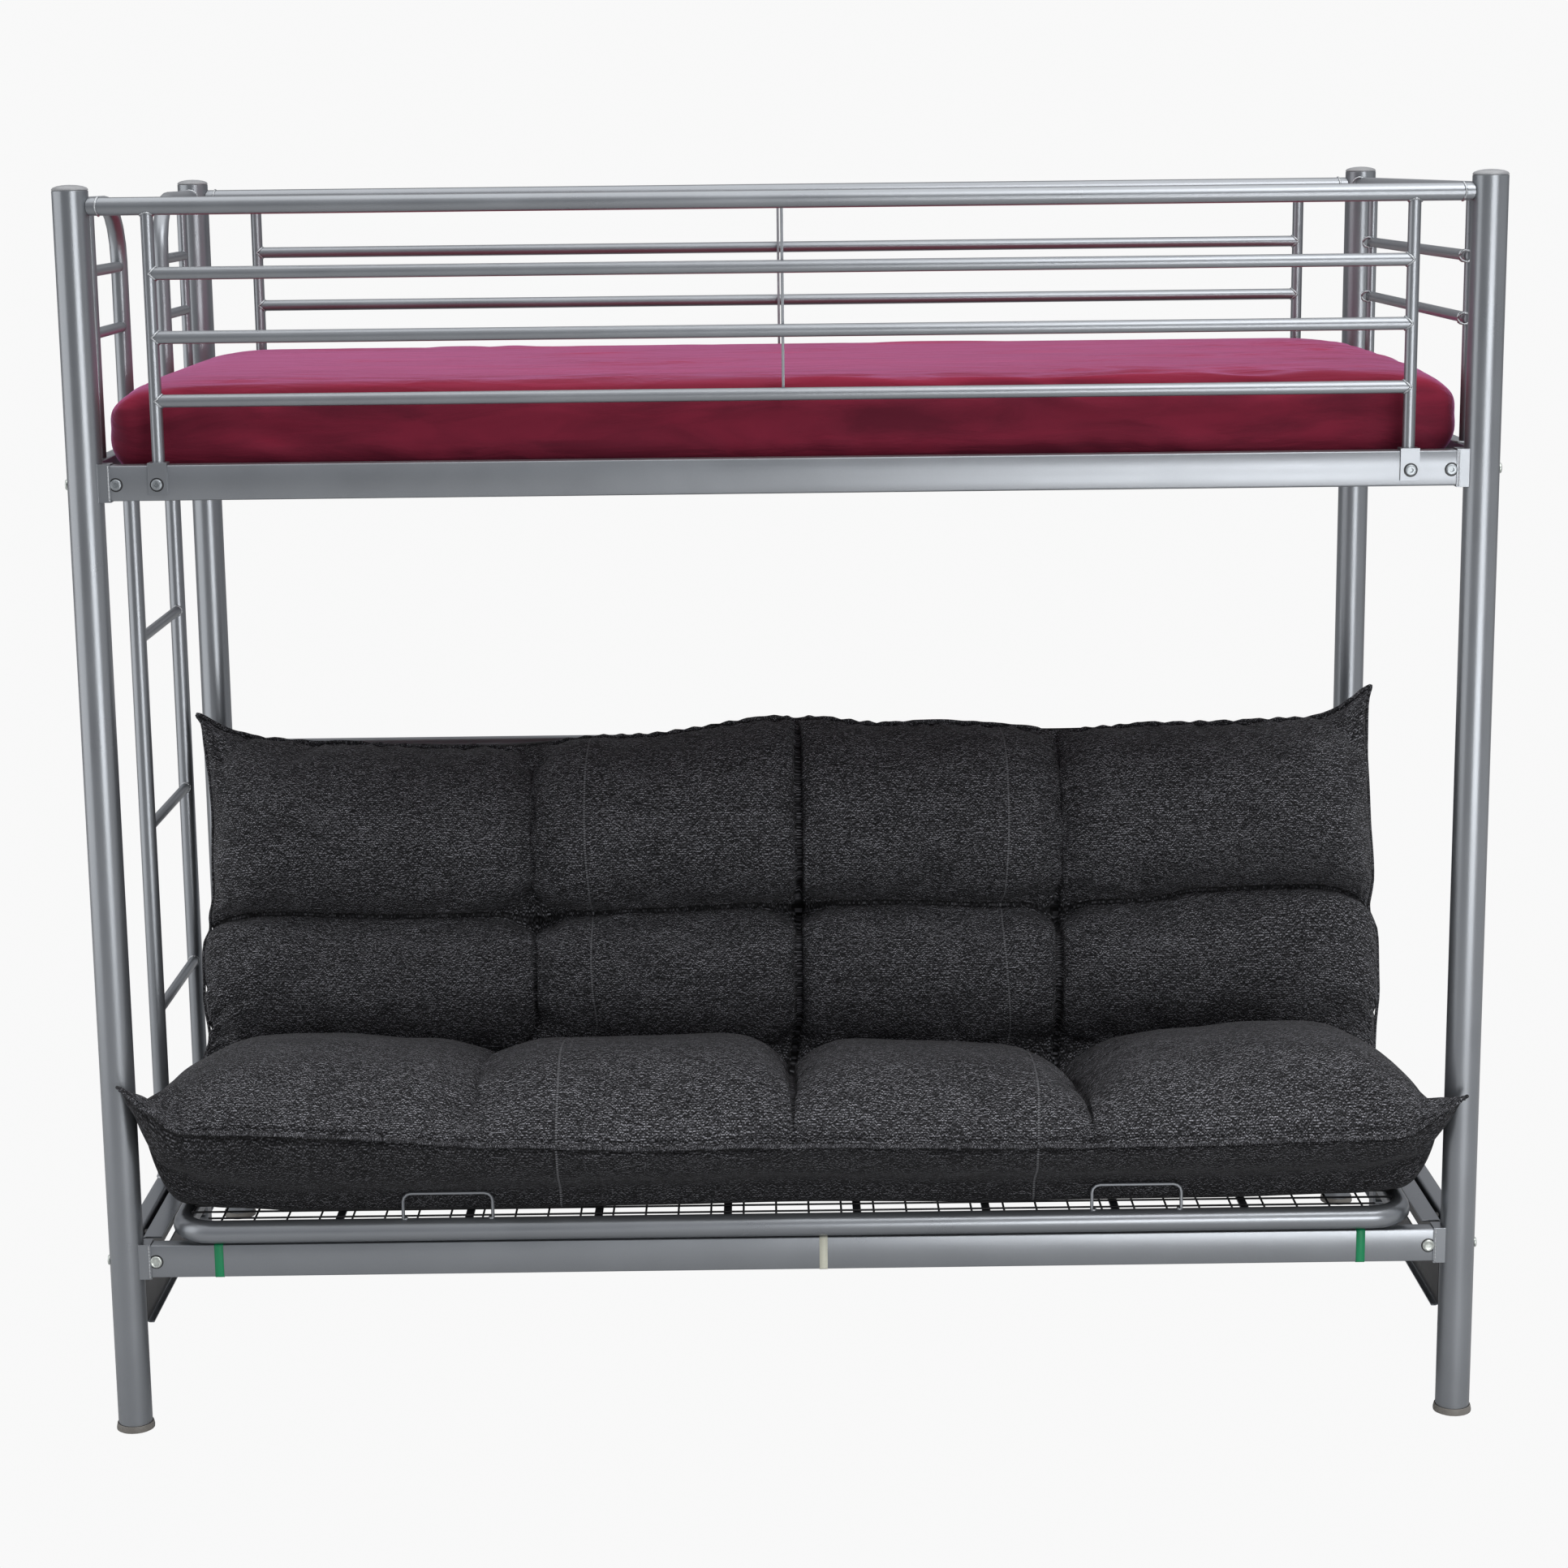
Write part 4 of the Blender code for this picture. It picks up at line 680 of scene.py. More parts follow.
def futon_mesh():
    s, x, up, low = futon_grid()
    up, low = pull_ears(x, up), pull_ears(x, low)
    rows, columns = s.shape
    top_index = np.arange(rows * columns).reshape(rows, columns)
    low_index = top_index.copy()
    inner = low_index[1:-1, 1:-1]
    inner[:] = rows * columns + np.arange(inner.size).reshape(inner.shape)
    verts = np.vstack((up.reshape(-1, 3), low[1:-1, 1:-1].reshape(-1, 3)))
    verts[:, 1] += FRONT_Y
    faces = []
    for r in range(rows - 1):
        for c in range(columns - 1):
            a, b = (i[r : r + 2, c : c + 2].ravel() for i in (top_index, low_index))
            faces += [a[[0, 1, 3, 2]], b[[0, 2, 3, 1]]]
    return s, x, verts, faces, top_index, low_index


def pattern_places():
    """Where the corners of the cover's faces lie in the flat cloth, in the order of the faces."""
    across, along = COLUMNS_AT, ROWS_AT * SECTION_LENGTH
    places = []
    for v0, v1 in zip(along, along[1:]):
        for u0, u1 in zip(across, across[1:]):
            places += [(u0, v0), (u1, v0), (u1, v1), (u0, v1)]
            places += [(u0, v0), (u0, v1), (u1, v1), (u1, v0)]
    return places


def put_cloth_map(obj, places):
    """The flat pattern of the cloth, in metres, so that the threads keep their real size."""
    layer = obj.data.uv_layers.new(name="cloth")
    layer.data.foreach_set("uv", np.array(places, np.float32).ravel())


def rest_pins(s, x, count, top_index, low_index):
    """1 where the futon is held: its quilting, seams, and all that lies on the frame."""
    hold = np.maximum(bell(s, MID_CREASE_AT, 0.008), bell(s, FOLD_AT, 0.012))
    tuft = bell(s, MID_CREASE_AT, 0.012)
    for at, _, fold in crease_values(s):
        firm = grow(fold, 0, 0.016, 0.18) * grow(s, 0.03, 0.10, 0.15)
        hold = np.maximum(hold, bell(x, at, 0.006) * firm)
        hold = np.maximum(hold, bell(x, at, 0.020) * tuft)
    hold = np.maximum(hold, np.clip(1 - s / 0.010, 0, 1))
    hold = np.maximum(hold, grow(s, 0.990, 0.010))
    hold[:, :2] = hold[:, -2:] = 1.0
    all_hold = np.zeros(count)
    all_hold[top_index.ravel()] = hold.ravel()
    all_hold[low_index[1:-1, 1:-1].ravel()] = grow(s, 0.030, 0.03, 0.10)[1:-1, 1:-1].ravel()
    return np.clip(all_hold, 0, 1)


CLOTH_FRAMES = 24
CLOTH_SETTINGS = {
    "quality": 4, "mass": 0.25, "tension_stiffness": 12, "compression_stiffness": 12,
    "shear_stiffness": 4, "bending_stiffness": 0.25, "tension_damping": 12,
    "compression_damping": 12, "shear_damping": 8, "bending_damping": 0.5, "air_damping": 4,
    "vertex_group_mass": "held", "pin_stiffness": 3, "shrink_min": -0.05,
    "use_pressure": True, "uniform_pressure_force": 5.0,
}


def settle_cloth(obj, hold):
    """Lets the cover puff and wrinkle between the places where it is held."""
    group = obj.vertex_groups.new(name="held")
    for i, weight in enumerate(hold):
        if weight > 0.001:
            group.add([i], float(weight), "REPLACE")
    cloth = obj.modifiers.new("cloth", "CLOTH")
    set_all(cloth.settings, **CLOTH_SETTINGS)
    cloth.settings.effector_weights.gravity = 0.0
    cloth.collision_settings.use_collision = False
    set_all(cloth.point_cache, frame_start=1, frame_end=CLOTH_FRAMES)
    for number in range(1, CLOTH_FRAMES + 1):
        scene.frame_set(number)
    shape = obj.evaluated_get(bpy.context.evaluated_depsgraph_get()).to_mesh()
    moved = read_all(shape.vertices, "co")
    obj.modifiers.remove(cloth)
    scene.frame_set(1)
    return moved.reshape(-1, 3)


def limit_move(rest, moved, most):
    step = moved - rest
    length = np.linalg.norm(step, axis=1, keepdims=True)
    share = most * np.tanh(length / most) / np.maximum(length, 1e-9)
    return rest + step * share


def apply_subdivision(obj, levels):
    modifier = obj.modifiers.new("fine", "SUBSURF")
    set_all(modifier, levels=levels, render_levels=levels, boundary_smooth="PRESERVE_CORNERS")
    graph = bpy.context.evaluated_depsgraph_get()
    fine = bpy.data.meshes.new_from_object(obj.evaluated_get(graph), depsgraph=graph)
    obj.modifiers.clear()
    obj.data = fine
    shade_smooth(fine)


def note_pattern_places(obj, top_index, low_index):
    """Stores on each point where it lies in the cloth's pattern, and whether on the upper face."""
    across, along = np.meshgrid(COLUMNS_AT, ROWS_AT * SECTION_LENGTH)
    values = np.zeros((3, len(obj.data.vertices)))
    for index, is_upper in ((low_index, 0.0), (top_index, 1.0)):
        for row, value in zip(values, (across.ravel(), along.ravel(), is_upper)):
            row[index.ravel()] = value
    for name, row in zip(("cloth_u", "cloth_v", "upper"), values):
        obj.data.attributes.new(name, "FLOAT", "POINT").data.foreach_set("value", row)


GROOVE_WIDTH = 0.0032
STITCH_DENT = 0.0016
STITCH_DENT_WIDTH = 0.0035
# The two stitched lines: place along the bed on the seat and on the back, and the stretch of the
# pattern over which they change from one to the other
STITCHES = ((-0.297, -0.313), (0.361, 0.345))
STITCH_TURN = (0.45, 0.75)
# Puckers beside a seam: pitch, height, how far they reach and how far off they start
CREASE_PUCKERS = (0.017, 0.0011, 0.028, 0.006)
MID_PUCKERS = (0.043, 0.0008, 0.030, 0.012)
HEM_PUCKERS = (0.026, 0.0011, 0.020, 0.004)
MID_GROOVE = 0.0060
HEM_GROOVE = 0.0042
HEM_GROOVE_AT = 0.0065
HEM_GROOVE_WIDTH = 0.0040
CRUMPLES = 14
CRUMPLE_HEIGHT = 0.00032


def puckers(along, sway, off, pitch, height, reach, core):
    """Small ridges that run out from a seam."""
    wave = np.sin(along * math.tau / pitch + sway)
    return height * wave * np.exp(-off / reach) * (1 - np.exp(-off / core))


def short_fold(u, v, u0, v0, u1, v1, deep, wide):
    """A valley from the first place to the second, with a low ridge beside it."""
    line = np.array((u1 - u0, v1 - v0))
    long = np.linalg.norm(line)
    along = ((u - u0) * line[0] + (v - v0) * line[1]) / long
    beside = ((u - u0) * line[1] - (v - v0) * line[0]) / long / wide
    taper = np.clip(along / 0.02 + 1, 0, 1) * np.clip((long - along) / long / 0.5, 0, 1)
    return deep * (bell(beside, 0, 1) - 0.5 * bell(beside, 1.9, 1)) * taper


def press_seams(obj):
    """Presses the folds, stitch lines and the small puckers beside them into the fine cover."""
    mesh = obj.data
    names = ("cloth_u", "cloth_v", "upper")
    u, v, upper = (read_all(mesh.attributes[name].data, "value", 1) for name in names)
    share = v / SECTION_LENGTH
    face = grow(share, 0, 0.05, 0.2) * fade(share, 1, 0.03)
    dent = np.zeros(len(u))
    for (_, _, fold), at in zip(crease_values(share), NOMINAL_X):
        off = np.abs(u - at)
        dent += 0.75 * fold * np.exp(-off / GROOVE_WIDTH) * face
        sway = 2.5 * np.sin(v * 23 + at * 9) + 9 * off
        dent += puckers(v, sway, off, *CREASE_PUCKERS) * face
    turn = grow(v, STITCH_TURN[0], STITCH_TURN[1] - STITCH_TURN[0])
    for low_u, high_u in STITCHES:
        off = np.abs(u - low_u - (high_u - low_u) * turn * turn * (3 - 2 * turn))
        dent += STITCH_DENT * bell(off, 0, STITCH_DENT_WIDTH) * face
        dent += 0.0006 * np.sin(v * math.tau / 0.021 + 2 * np.sin(v * 31)) * np.exp(-off / 0.014)
    mid = np.abs(v - MID_CREASE_AT * SECTION_LENGTH)
    dent += MID_GROOVE * np.exp(-mid / GROOVE_WIDTH)
    dent += puckers(u, 2.5 * np.sin(u * 17) + 7 * mid, mid, *MID_PUCKERS)
    for fold in SHORT_FOLDS:
        dent += short_fold(u, v, *fold)
    draws = np.random.default_rng(5).uniform((0, 30, -1, 0.3), (6, 75, 1, 1), (CRUMPLES, 4))
    for phase, pace, slant, strength in draws:
        gate = 0.5 + 0.5 * np.sin(u * pace * 0.21 + phase * 3) * np.sin(v * pace * 0.17 + phase)
        wave = np.sin(pace * (v + slant * u * 0.7) + phase)
        dent += CRUMPLE_HEIGHT * strength * gate * wave
    edge = np.minimum(v, SECTION_LENGTH - v)
    dent += puckers(u, 3 * np.sin(u * 11), edge, *HEM_PUCKERS)
    dent *= np.clip(upper * 1.6 - 0.3, 0, 1)
    dent += HEM_GROOVE * bell(edge, HEM_GROOVE_AT, HEM_GROOVE_WIDTH)
    normals, places = (read_all(mesh.vertices, name) for name in ("normal", "co"))
    mesh.vertices.foreach_set("co", places - normals * np.repeat(dent, 3))
    mesh.update()


def keep_edges_sharp(obj, ring):
    """The sewn edge stays where it is when the cover is made finer."""
    pairs = {tuple(sorted(pair)) for pair in zip(ring, ring[1:] + ring[:1])}
    crease = obj.data.attributes.new("crease_edge", "FLOAT", "EDGE")
    edges = np.empty(len(obj.data.edges) * 2, int)
    obj.data.edges.foreach_get("vertices", edges)
    edges = np.sort(edges.reshape(-1, 2), 1)
    crease.data.foreach_set("value", [float(tuple(edge) in pairs) for edge in edges.tolist()])


def outer_ring(index):
    ring = index[0, :].tolist() + index[1:, -1].tolist()
    return ring + index[-1, -2::-1].tolist() + index[-2:0:-1, 0].tolist()


def inner_ring(index):
    """For each place of the outer ring, the nearest place one step further in."""
    near = (np.clip(np.arange(count), 1, count - 2) for count in index.shape)
    return outer_ring(index[np.ix_(*near)])


def make_piping(seam, edging):
    """The sewn edge: a thin twisted cord that wavers along the seam."""
    steps = np.linalg.norm(np.roll(seam, -1, 0) - seam, axis=1)
    run = np.concatenate(([0.0], np.cumsum(steps)[:-1]))
    at = np.arange(0.0, run[-1], PIPING_STEP)
    seam = np.column_stack([np.interp(at, run, column) for column in seam.T])
    wobble = np.sin(at * 150 + 3 * np.sin(at * 31)) * (0.6 + 0.4 * np.sin(at * 47))
    seam[:, 2] += PIPING_WOBBLE * wobble
    thick = PIPING_R * (1 + 0.12 * np.sin(at * math.tau / PIPING_TWIST))
    piping = mesh_object("futon_piping", *sweep(seam, thick, PIPING_SIDES, True), edging)
    put_cloth_map(piping, [(u, k * 0.002) for u in at for k in range(4 * PIPING_SIDES)])
    return piping


def make_futon(weave, edging):
    s, x, verts, faces, top_index, low_index = futon_mesh()
    obj = mesh_object("futon", verts, faces, weave)
    put_cloth_map(obj, pattern_places())
    hold = rest_pins(s, x, len(verts), top_index, low_index)
    verts = limit_move(verts, settle_cloth(obj, hold), PUFF_LIMIT)
    obj.data.vertices.foreach_set("co", verts.ravel())
    obj.data.update()
    obj.vertex_groups.clear()
    ring = outer_ring(top_index)
    keep_edges_sharp(obj, ring)
    note_pattern_places(obj, top_index, low_index)
    beside = verts[ring] - (verts[inner_ring(top_index)] + verts[inner_ring(low_index)]) / 2
    seam = verts[ring] + beside / np.linalg.norm(beside, axis=1, keepdims=True) * PIPING_OUT
    apply_subdivision(obj, 2)
    press_seams(obj)
    piping = make_piping(seam, edging)
    for piece in (obj, piping):
        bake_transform(piece)
    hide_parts("seat_pad", "back_pad")


# The weave: size of a crossing, length of a bright run, spacing of the rows and of the warp
THREAD_ACROSS = 0.0017
THREAD_ALONG = 0.0015
RUN_LENGTH = 0.0048
ROW_PITCH = 0.0031
WARP_PITCH = 0.0024
# How much the runs, the warp and the single crossings count for
RUN_SHARE, WARP_SHARE, CROSSING_SHARE = 0.30, 0.10, 0.90
HEATHER = (
    (0.0, (0.0012, 0.0012, 0.0014)),
    (0.30, (0.0060, 0.0060, 0.0067)),
    (0.50, (0.0230, 0.0231, 0.0258)),
    (0.70, (0.0740, 0.0745, 0.0820)),
    (1.0, (0.26, 0.262, 0.286)),
)
STITCH_PACE = 1900.0
STITCH_THREAD = (0.15, 0.152, 0.163)


def thread_tones(s, flat):
    """Every crossing of threads its own grey, in short brighter runs."""
    beads = s.woven(flat, THREAD_ACROSS, THREAD_ALONG)
    runs = s.times(s.dashes(flat, 0, RUN_LENGTH, ROW_PITCH), s.ridges(flat, 1, ROW_PITCH))
    down = s.times(s.dashes(flat, 1, RUN_LENGTH, WARP_PITCH), s.ridges(flat, 0, WARP_PITCH))
    patch = s.noise(s.stretch(flat, (9.0, 26.0, 1.0)), 1.0, 3.0)
    threads = s.plus(s.times(runs, RUN_SHARE), s.times(down, WARP_SHARE))
    threads = s.plus(threads, s.times(beads, CROSSING_SHARE))
    return s.plus(threads, s.remap(patch, 0.3, 0.7, -0.03, 0.03))


def paint_seam_shade(s, v, tone, under):
    """Painted shade: dims the lower face, the crease across the back and the tuck under the sewn
    edge.
    """
    upper = s.node("ShaderNodeAttribute", attribute_name="upper").outputs["Fac"]
    tone = s.blend(s.remap(upper, 0.0, 1.0, under, 1.0), (0.003, 0.003, 0.0034), tone)
    crease = s.apart(v, MID_CREASE_AT * SECTION_LENGTH)
    shade = s.times(s.ease(crease, 0.0006, 0.0036, 0.68, 0.0), upper)
    hem = s.calc("MINIMUM", v, s.calc("SUBTRACT", SECTION_LENGTH, v))
    tuck = s.times(s.ease(hem, 0.0030, 0.0090, 0.85, 0.0), s.calc("SUBTRACT", 1.0, upper))
    return s.blend(s.calc("MAXIMUM", shade, tuck), tone, (0.0015, 0.0015, 0.0017))


def heather_weave(name, under=1.0):
    """Charcoal heather.

    under is how bright the painted shade leaves the cloth on the lower face beside the upper one.
    Below 1 the crease across the back and the tuck under the sewn edge also get painted shade.
    """
    s = Shader(name)
    flat = s.flat_place()
    u, v = s.axis(flat, 0), s.axis(flat, 1)
    threads = thread_tones(s, flat)
    tone = s.ramp(s.remap(threads, 0.18, 0.98), *HEATHER)
    if under != 1.0:
        tone = paint_seam_shade(s, v, tone, under)
    lines = (s.apart(u, s.ease(v, *STITCH_TURN, *ends)) for ends in STITCHES)
    groove = s.calc("MAXIMUM", *(s.ease(off, 0.0009, 0.0040, 1.0, 0.0) for off in lines))
    stitch = s.calc("GREATER_THAN", s.calc("SINE", s.times(v, STITCH_PACE)), -0.2)
    thread = s.times(s.calc("GREATER_THAN", groove, 0.93), stitch)
    # Painted shade darkens the stitch grooves; the pale stitch thread is laid over them next.
    tone = s.blend(s.times(groove, 0.45), tone, (0.008, 0.008, 0.009))
    tone = s.blend(s.times(thread, 0.85), tone, STITCH_THREAD)
    pitches = ((u, THREAD_ACROSS), (v, THREAD_ALONG))
    waves = (s.calc("SINE", s.times(way, math.pi / pitch)) for way, pitch in pitches)
    raised = s.plus(s.times(s.times(*waves), 0.22), s.times(threads, 0.5))
    s.surface(
        Base_Color=tone,
        Roughness=s.remap(threads, 0.2, 0.9, 0.95, 0.80),
        Normal=s.bump(groove, -0.6, 0.003, s.bump(raised, 0.45, 0.0009)),
        Specular_IOR_Level=0.22,
        Sheen_Weight=0.02,
        Sheen_Roughness=0.45,
    )
    return s.material


def plum_sheet(name):
    """Smooth fitted cotton, with small pressed wrinkles that run along the bed. The top has painted
    light: a lighter, redder tone than the sides.
    """
    s = Shader(name)
    place = s.place()
    crumple = s.noise(s.stretch(place, (5.0, 16.0, 22.0)), 1.0, 5.0, 0.55, 0.6)
    ridge = s.ease(s.apart(crumple, 0.5), 0.0, 0.09, 1.0, 0.0)
    knit = s.noise(s.stretch(place, (900.0, 900.0, 1400.0)), 1.0)
    streak = s.noise(s.stretch(place, (2.2, 34.0, 30.0)), 1.0, 4.0, 0.6, 0.4)
    # Painted light: the sides get a darker tone and the top a lighter, redder one, blended by how
    # far the surface faces up.
    side = s.ramp(crumple, (0.35, (0.098, 0.0085, 0.021)), (0.65, (0.172, 0.0130, 0.032)))
    top = s.ramp(streak, (0.34, (0.184, 0.0095, 0.026)), (0.66, (0.262, 0.0158, 0.044)))
    facing = s.axis(s.node("ShaderNodeNewGeometry").outputs["Normal"], 2)
    s.surface(
        Base_Color=s.blend(s.ease(facing, 0.25, 0.85), side, top),
        Roughness=s.remap(knit, 0.3, 0.7, 0.72, 0.86),
        Normal=s.bump(ridge, 0.22, 0.0025, s.bump(knit, 0.10, 0.0004)),
        Specular_IOR_Level=0.12,
        Sheen_Weight=0.62,
        Sheen_Roughness=0.35,
        Sheen_Tint=(1.0, 0.44, 0.93, 1.0),
    )
    return s.material


def tape(name, color):
    s = Shader(name)
    weave = s.noise(s.stretch(s.place(), (900.0, 900.0, 2400.0)), 1.0)
    s.surface(
        Base_Color=s.mottled(weave, 0.8, color, 0.35, 0.65),
        Roughness=0.5,
        Normal=s.bump(weave, 0.2, 0.0003),
    )
    return s.material


# Upper mattress
MATTRESS_GRID = 0.0125
MATTRESS_ROUND = 0.036
END_DROP = 0.016
END_DROP_FROM = 0.86
SIDE_DROP = 0.010
# Wrinkles: how many, seed of the draws, half size of the field they lie in, turn and height
TOP_WRINKLES = (34, 4, (0.95, 0.40), 0.25, 0.0038)
FRONT_WRINKLES = (34, 9, (0.95, 0.05), 0.10, 0.0034)
SIDE_WRINKLES = (26, 6, (0.92, 0.05), 0.30, 0.0036)
END_WRINKLES = (14, 8, (0.42, 0.05), 0.5, 0.0028)
FRONT_WRINKLES_AT = 0.40
CORNER_X = 0.93
CORNER_PLEAT = 0.0028
HEM_LEVEL = -0.70
HEM_DENT = 0.0035
HEM_GATHER = 0.0020
TUCK_IN = 0.010
END_ROUND = 0.012
END_TUCK = 0.022


def rounded_block(low, high, radius, step):
    """The skin of a round-edged block as quads, with vertices shared between its faces."""
    counts = np.maximum(2, np.round((high - low) / step).astype(int))
    index, faces = {}, []
    for fixed in (2, 1, 0):
        a, b = (axis for axis in range(3) if axis != fixed)
        for i in range(counts[a]):
            for j in range(counts[b]):
                for level, flip in ((0, fixed != 1), (counts[fixed], fixed == 1)):
                    quad = []
                    for step_a, step_b in ((0, 0), (1, 0), (1, 1), (0, 1)):
                        key = [level] * 3
                        key[a], key[b] = i + step_a, j + step_b
                        quad.append(index.setdefault(tuple(key), len(index)))
                    faces.append(quad[::-1] if flip else quad)
    verts = low + (high - low) * np.array(list(index)) / counts
    core = np.clip(verts, low + radius, high - radius)
    away = verts - core
    length = np.linalg.norm(away, axis=1, keepdims=True)
    verts = core + away / np.maximum(length, 1e-9) * np.minimum(length, radius)
    return verts, faces


def wrinkles(along, across, count, seed, spread, turn, height):
    """Relief of many short soft ridges, each with a valley beside it."""
    random = np.random.default_rng(seed)
    relief = np.zeros(len(along))
    for _ in range(count):
        place = random.uniform(-1, 1, 2) * spread
        angle = random.normal(0, turn)
        long, wide = random.uniform(0.07, 0.30), random.uniform(0.007, 0.016)
        bend = random.uniform(-0.25, 0.25)
        d, e = along - place[0], across - place[1]
        run = d * math.cos(angle) + e * math.sin(angle)
        off = (e * math.cos(angle) - d * math.sin(angle) - bend * run * run / long) / wide
        ridge = bell(off, 0, 1) - 0.7 * bell(off, 1.7, 1)
        relief += ridge * bell(run, 0, long) * random.uniform(0.35, 1.0) * height
    return relief


def make_mattress(sheet):
    low, high = (np.array(corner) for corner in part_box("upper_mattress"))
    verts, faces = rounded_block(low, high, MATTRESS_ROUND, MATTRESS_GRID)
    centre = (high + low) / 2
    along, across, level = ((verts - centre) / ((high - low) / 2)).T
    x, y, z = verts.T.copy()
    z -= centre[2]
    upper = np.clip(level, 0, 1)
    end = grow(np.abs(along), END_DROP_FROM, 1 - END_DROP_FROM)
    verts[:, 2] -= (END_DROP * end**2.4 + SIDE_DROP * across**4) * upper
    relief = wrinkles(x, y, *TOP_WRINKLES) + wrinkles(x, y + FRONT_WRINKLES_AT, *FRONT_WRINKLES)
    verts[:, 2] += grow(level, 0.75, 0.2) * relief
    push = wrinkles(x, z, *SIDE_WRINKLES)
    for corner in (-CORNER_X, CORNER_X):
        push += bell(x, corner, 0.12) * CORNER_PLEAT * np.sin((x - corner) * 95 + z * 40)
    hem = HEM_LEVEL + 0.05 * np.sin(x * 21 + 2 * np.sin(x * 8))
    push -= HEM_DENT * bell(level, hem, 0.10)
    push += HEM_GATHER * np.sin(x * 74 + 3 * np.sin(x * 13)) * bell(level, hem + 0.16, 0.22)
    tuck = np.clip(-level - 0.70, 0, 1) / 0.30
    verts[:, 1] += np.sign(across) * (push * grow(np.abs(across), 0.90, 0.08) - tuck * TUCK_IN)
    bulge = grow(np.abs(along), 0.965, 0.03) * wrinkles(y, z, *END_WRINKLES)
    pull = np.abs(level) ** 3 * END_ROUND + np.clip(-level, 0, 1) ** 2 * END_TUCK
    verts[:, 0] += np.sign(along) * (bulge - grow(np.abs(along), 0.94, 0.06) * pull)
    obj = mesh_object("fitted_mattress", verts, faces, sheet)
    apply_subdivision(obj, 1)
    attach(obj, "bunk_frame")
    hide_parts("upper_mattress")


# Wire meshes
WIRE_R = 0.0016
WIRE_PITCH_X = 0.0475
WIRE_PITCH_DEEP = 0.0285
CORNER_CUT = 0.030


def make_wire_mesh(node, body, material):
    """A welded mesh of round wires in the plane of the CAD net."""
    co = np.array([v.co for v in nodes[node].data.vertices])
    centre = (co.max(0) + co.min(0)) / 2
    flat = co - centre
    deep = np.linalg.eigh(flat[:, 1:].T @ flat[:, 1:])[1][:, 1]
    deep = np.array((0.0, *deep)) * np.sign(deep[0] + deep[1])
    out = np.cross(X_AXIS, deep)
    half_x = np.abs(flat[:, 0]).max()
    reach, thick = flat @ deep, flat @ out
    centre = centre + out * ((thick.max() + thick.min()) / 2)
    along_x, along_deep = (X_AXIS, -half_x, half_x), (deep, reach.min(), reach.max())
    ways = (
        (along_x, along_deep, WIRE_PITCH_X, -out),
        (along_deep, along_x, WIRE_PITCH_DEEP, out),
    )
    parts = []
    for (step, first, last), (run, start, end), pitch, lift in ways:
        count = int(round((last - first) / pitch))
        for at in np.linspace(first + WIRE_R, last - WIRE_R, count + 1):
            cut = CORNER_CUT if min(at - first, last - at) < CORNER_CUT * 0.7 else 0.0
            spot = centre + step * at + lift * WIRE_R * 0.9
            parts.append(sweep((spot + run * (start + cut), spot + run * (end - cut)), WIRE_R))
    obj = mesh_object(node + "_wires", *joined(parts), material)
    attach(obj, body)
    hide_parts(node)


# Welds
BEAD_R = 0.0017
BEAD_STEPS = 40
LINE_STEP = 0.0014
# The wire loops at the front of the seat: place along the bed, width and wire
LOOP_X = 1.830 * 0.2754
LOOP_WIDTH = 0.131
LOOP_WIRE_R = 0.0025


def weld_ring(place, out, along, branch_r, main_r=0.0):
    """A rippled bead where a tube of branch_r runs into one of main_r, or into a flat face."""
    a = np.arange(BEAD_STEPS) * math.tau / BEAD_STEPS
    offset = np.outer(np.cos(a), along) + np.outer(np.sin(a), np.cross(out, along))
    high = np.sqrt(np.maximum(main_r**2 - (branch_r * np.sin(a)) ** 2, 0.0))
    points = np.array(place, float) + offset * branch_r + np.outer(high, out)
    ripple = BEAD_R * (1 + 0.16 * np.sin(a * 13) + 0.10 * np.sin(a * 5 + 1.0))
    return sweep(points, ripple, 6, True)


def rail_weld(sign, y, face, rail_z):
    """A straight bead up the flat side of a rail where it meets its post."""
    lean = RAIL_W / 2 + 0.0015
    x = sign * (POST_X - math.sqrt(POST_R**2 - lean**2) - 0.0004)
    ends = np.array([(x, y + face * lean, rail_z + end * RAIL_H / 2) for end in (-1, 1)])
    count = max(6, int(RAIL_H / LINE_STEP))
    points = ends[0] + (ends[1] - ends[0]) * np.linspace(0, 1, count)[:, None]
    ripple = BEAD_R * 0.85 * (1 + 0.18 * np.sin(np.arange(count) * 1.9))
    return sweep(points, ripple, 6)


def guard_welds(where, y):
    top = "guard_top_tube_" + where
    top_z, top_r = middle(top).z, size(top).z / 2
    stem_r = size("guard_rail_%s_high" % where).z / 2
    for side, sign in (("left", -1), ("right", 1)):
        inward = -sign * X_AXIS
        stem_x = middle("guard_upright_%s_%s" % (where, side)).x
        yield weld_ring((sign * POST_X, y, top_z), inward, Z_AXIS, top_r, POST_R)
        yield weld_ring((stem_x, y, top_z), -Z_AXIS, X_AXIS, stem_r, top_r)
        for level in ("high", "mid", "low"):
            rail = "guard_rail_%s_%s" % (where, level)
            spot = (stem_x, y, middle(rail).z)
            yield weld_ring(spot, inward, Z_AXIS, size(rail).z / 2, stem_r)


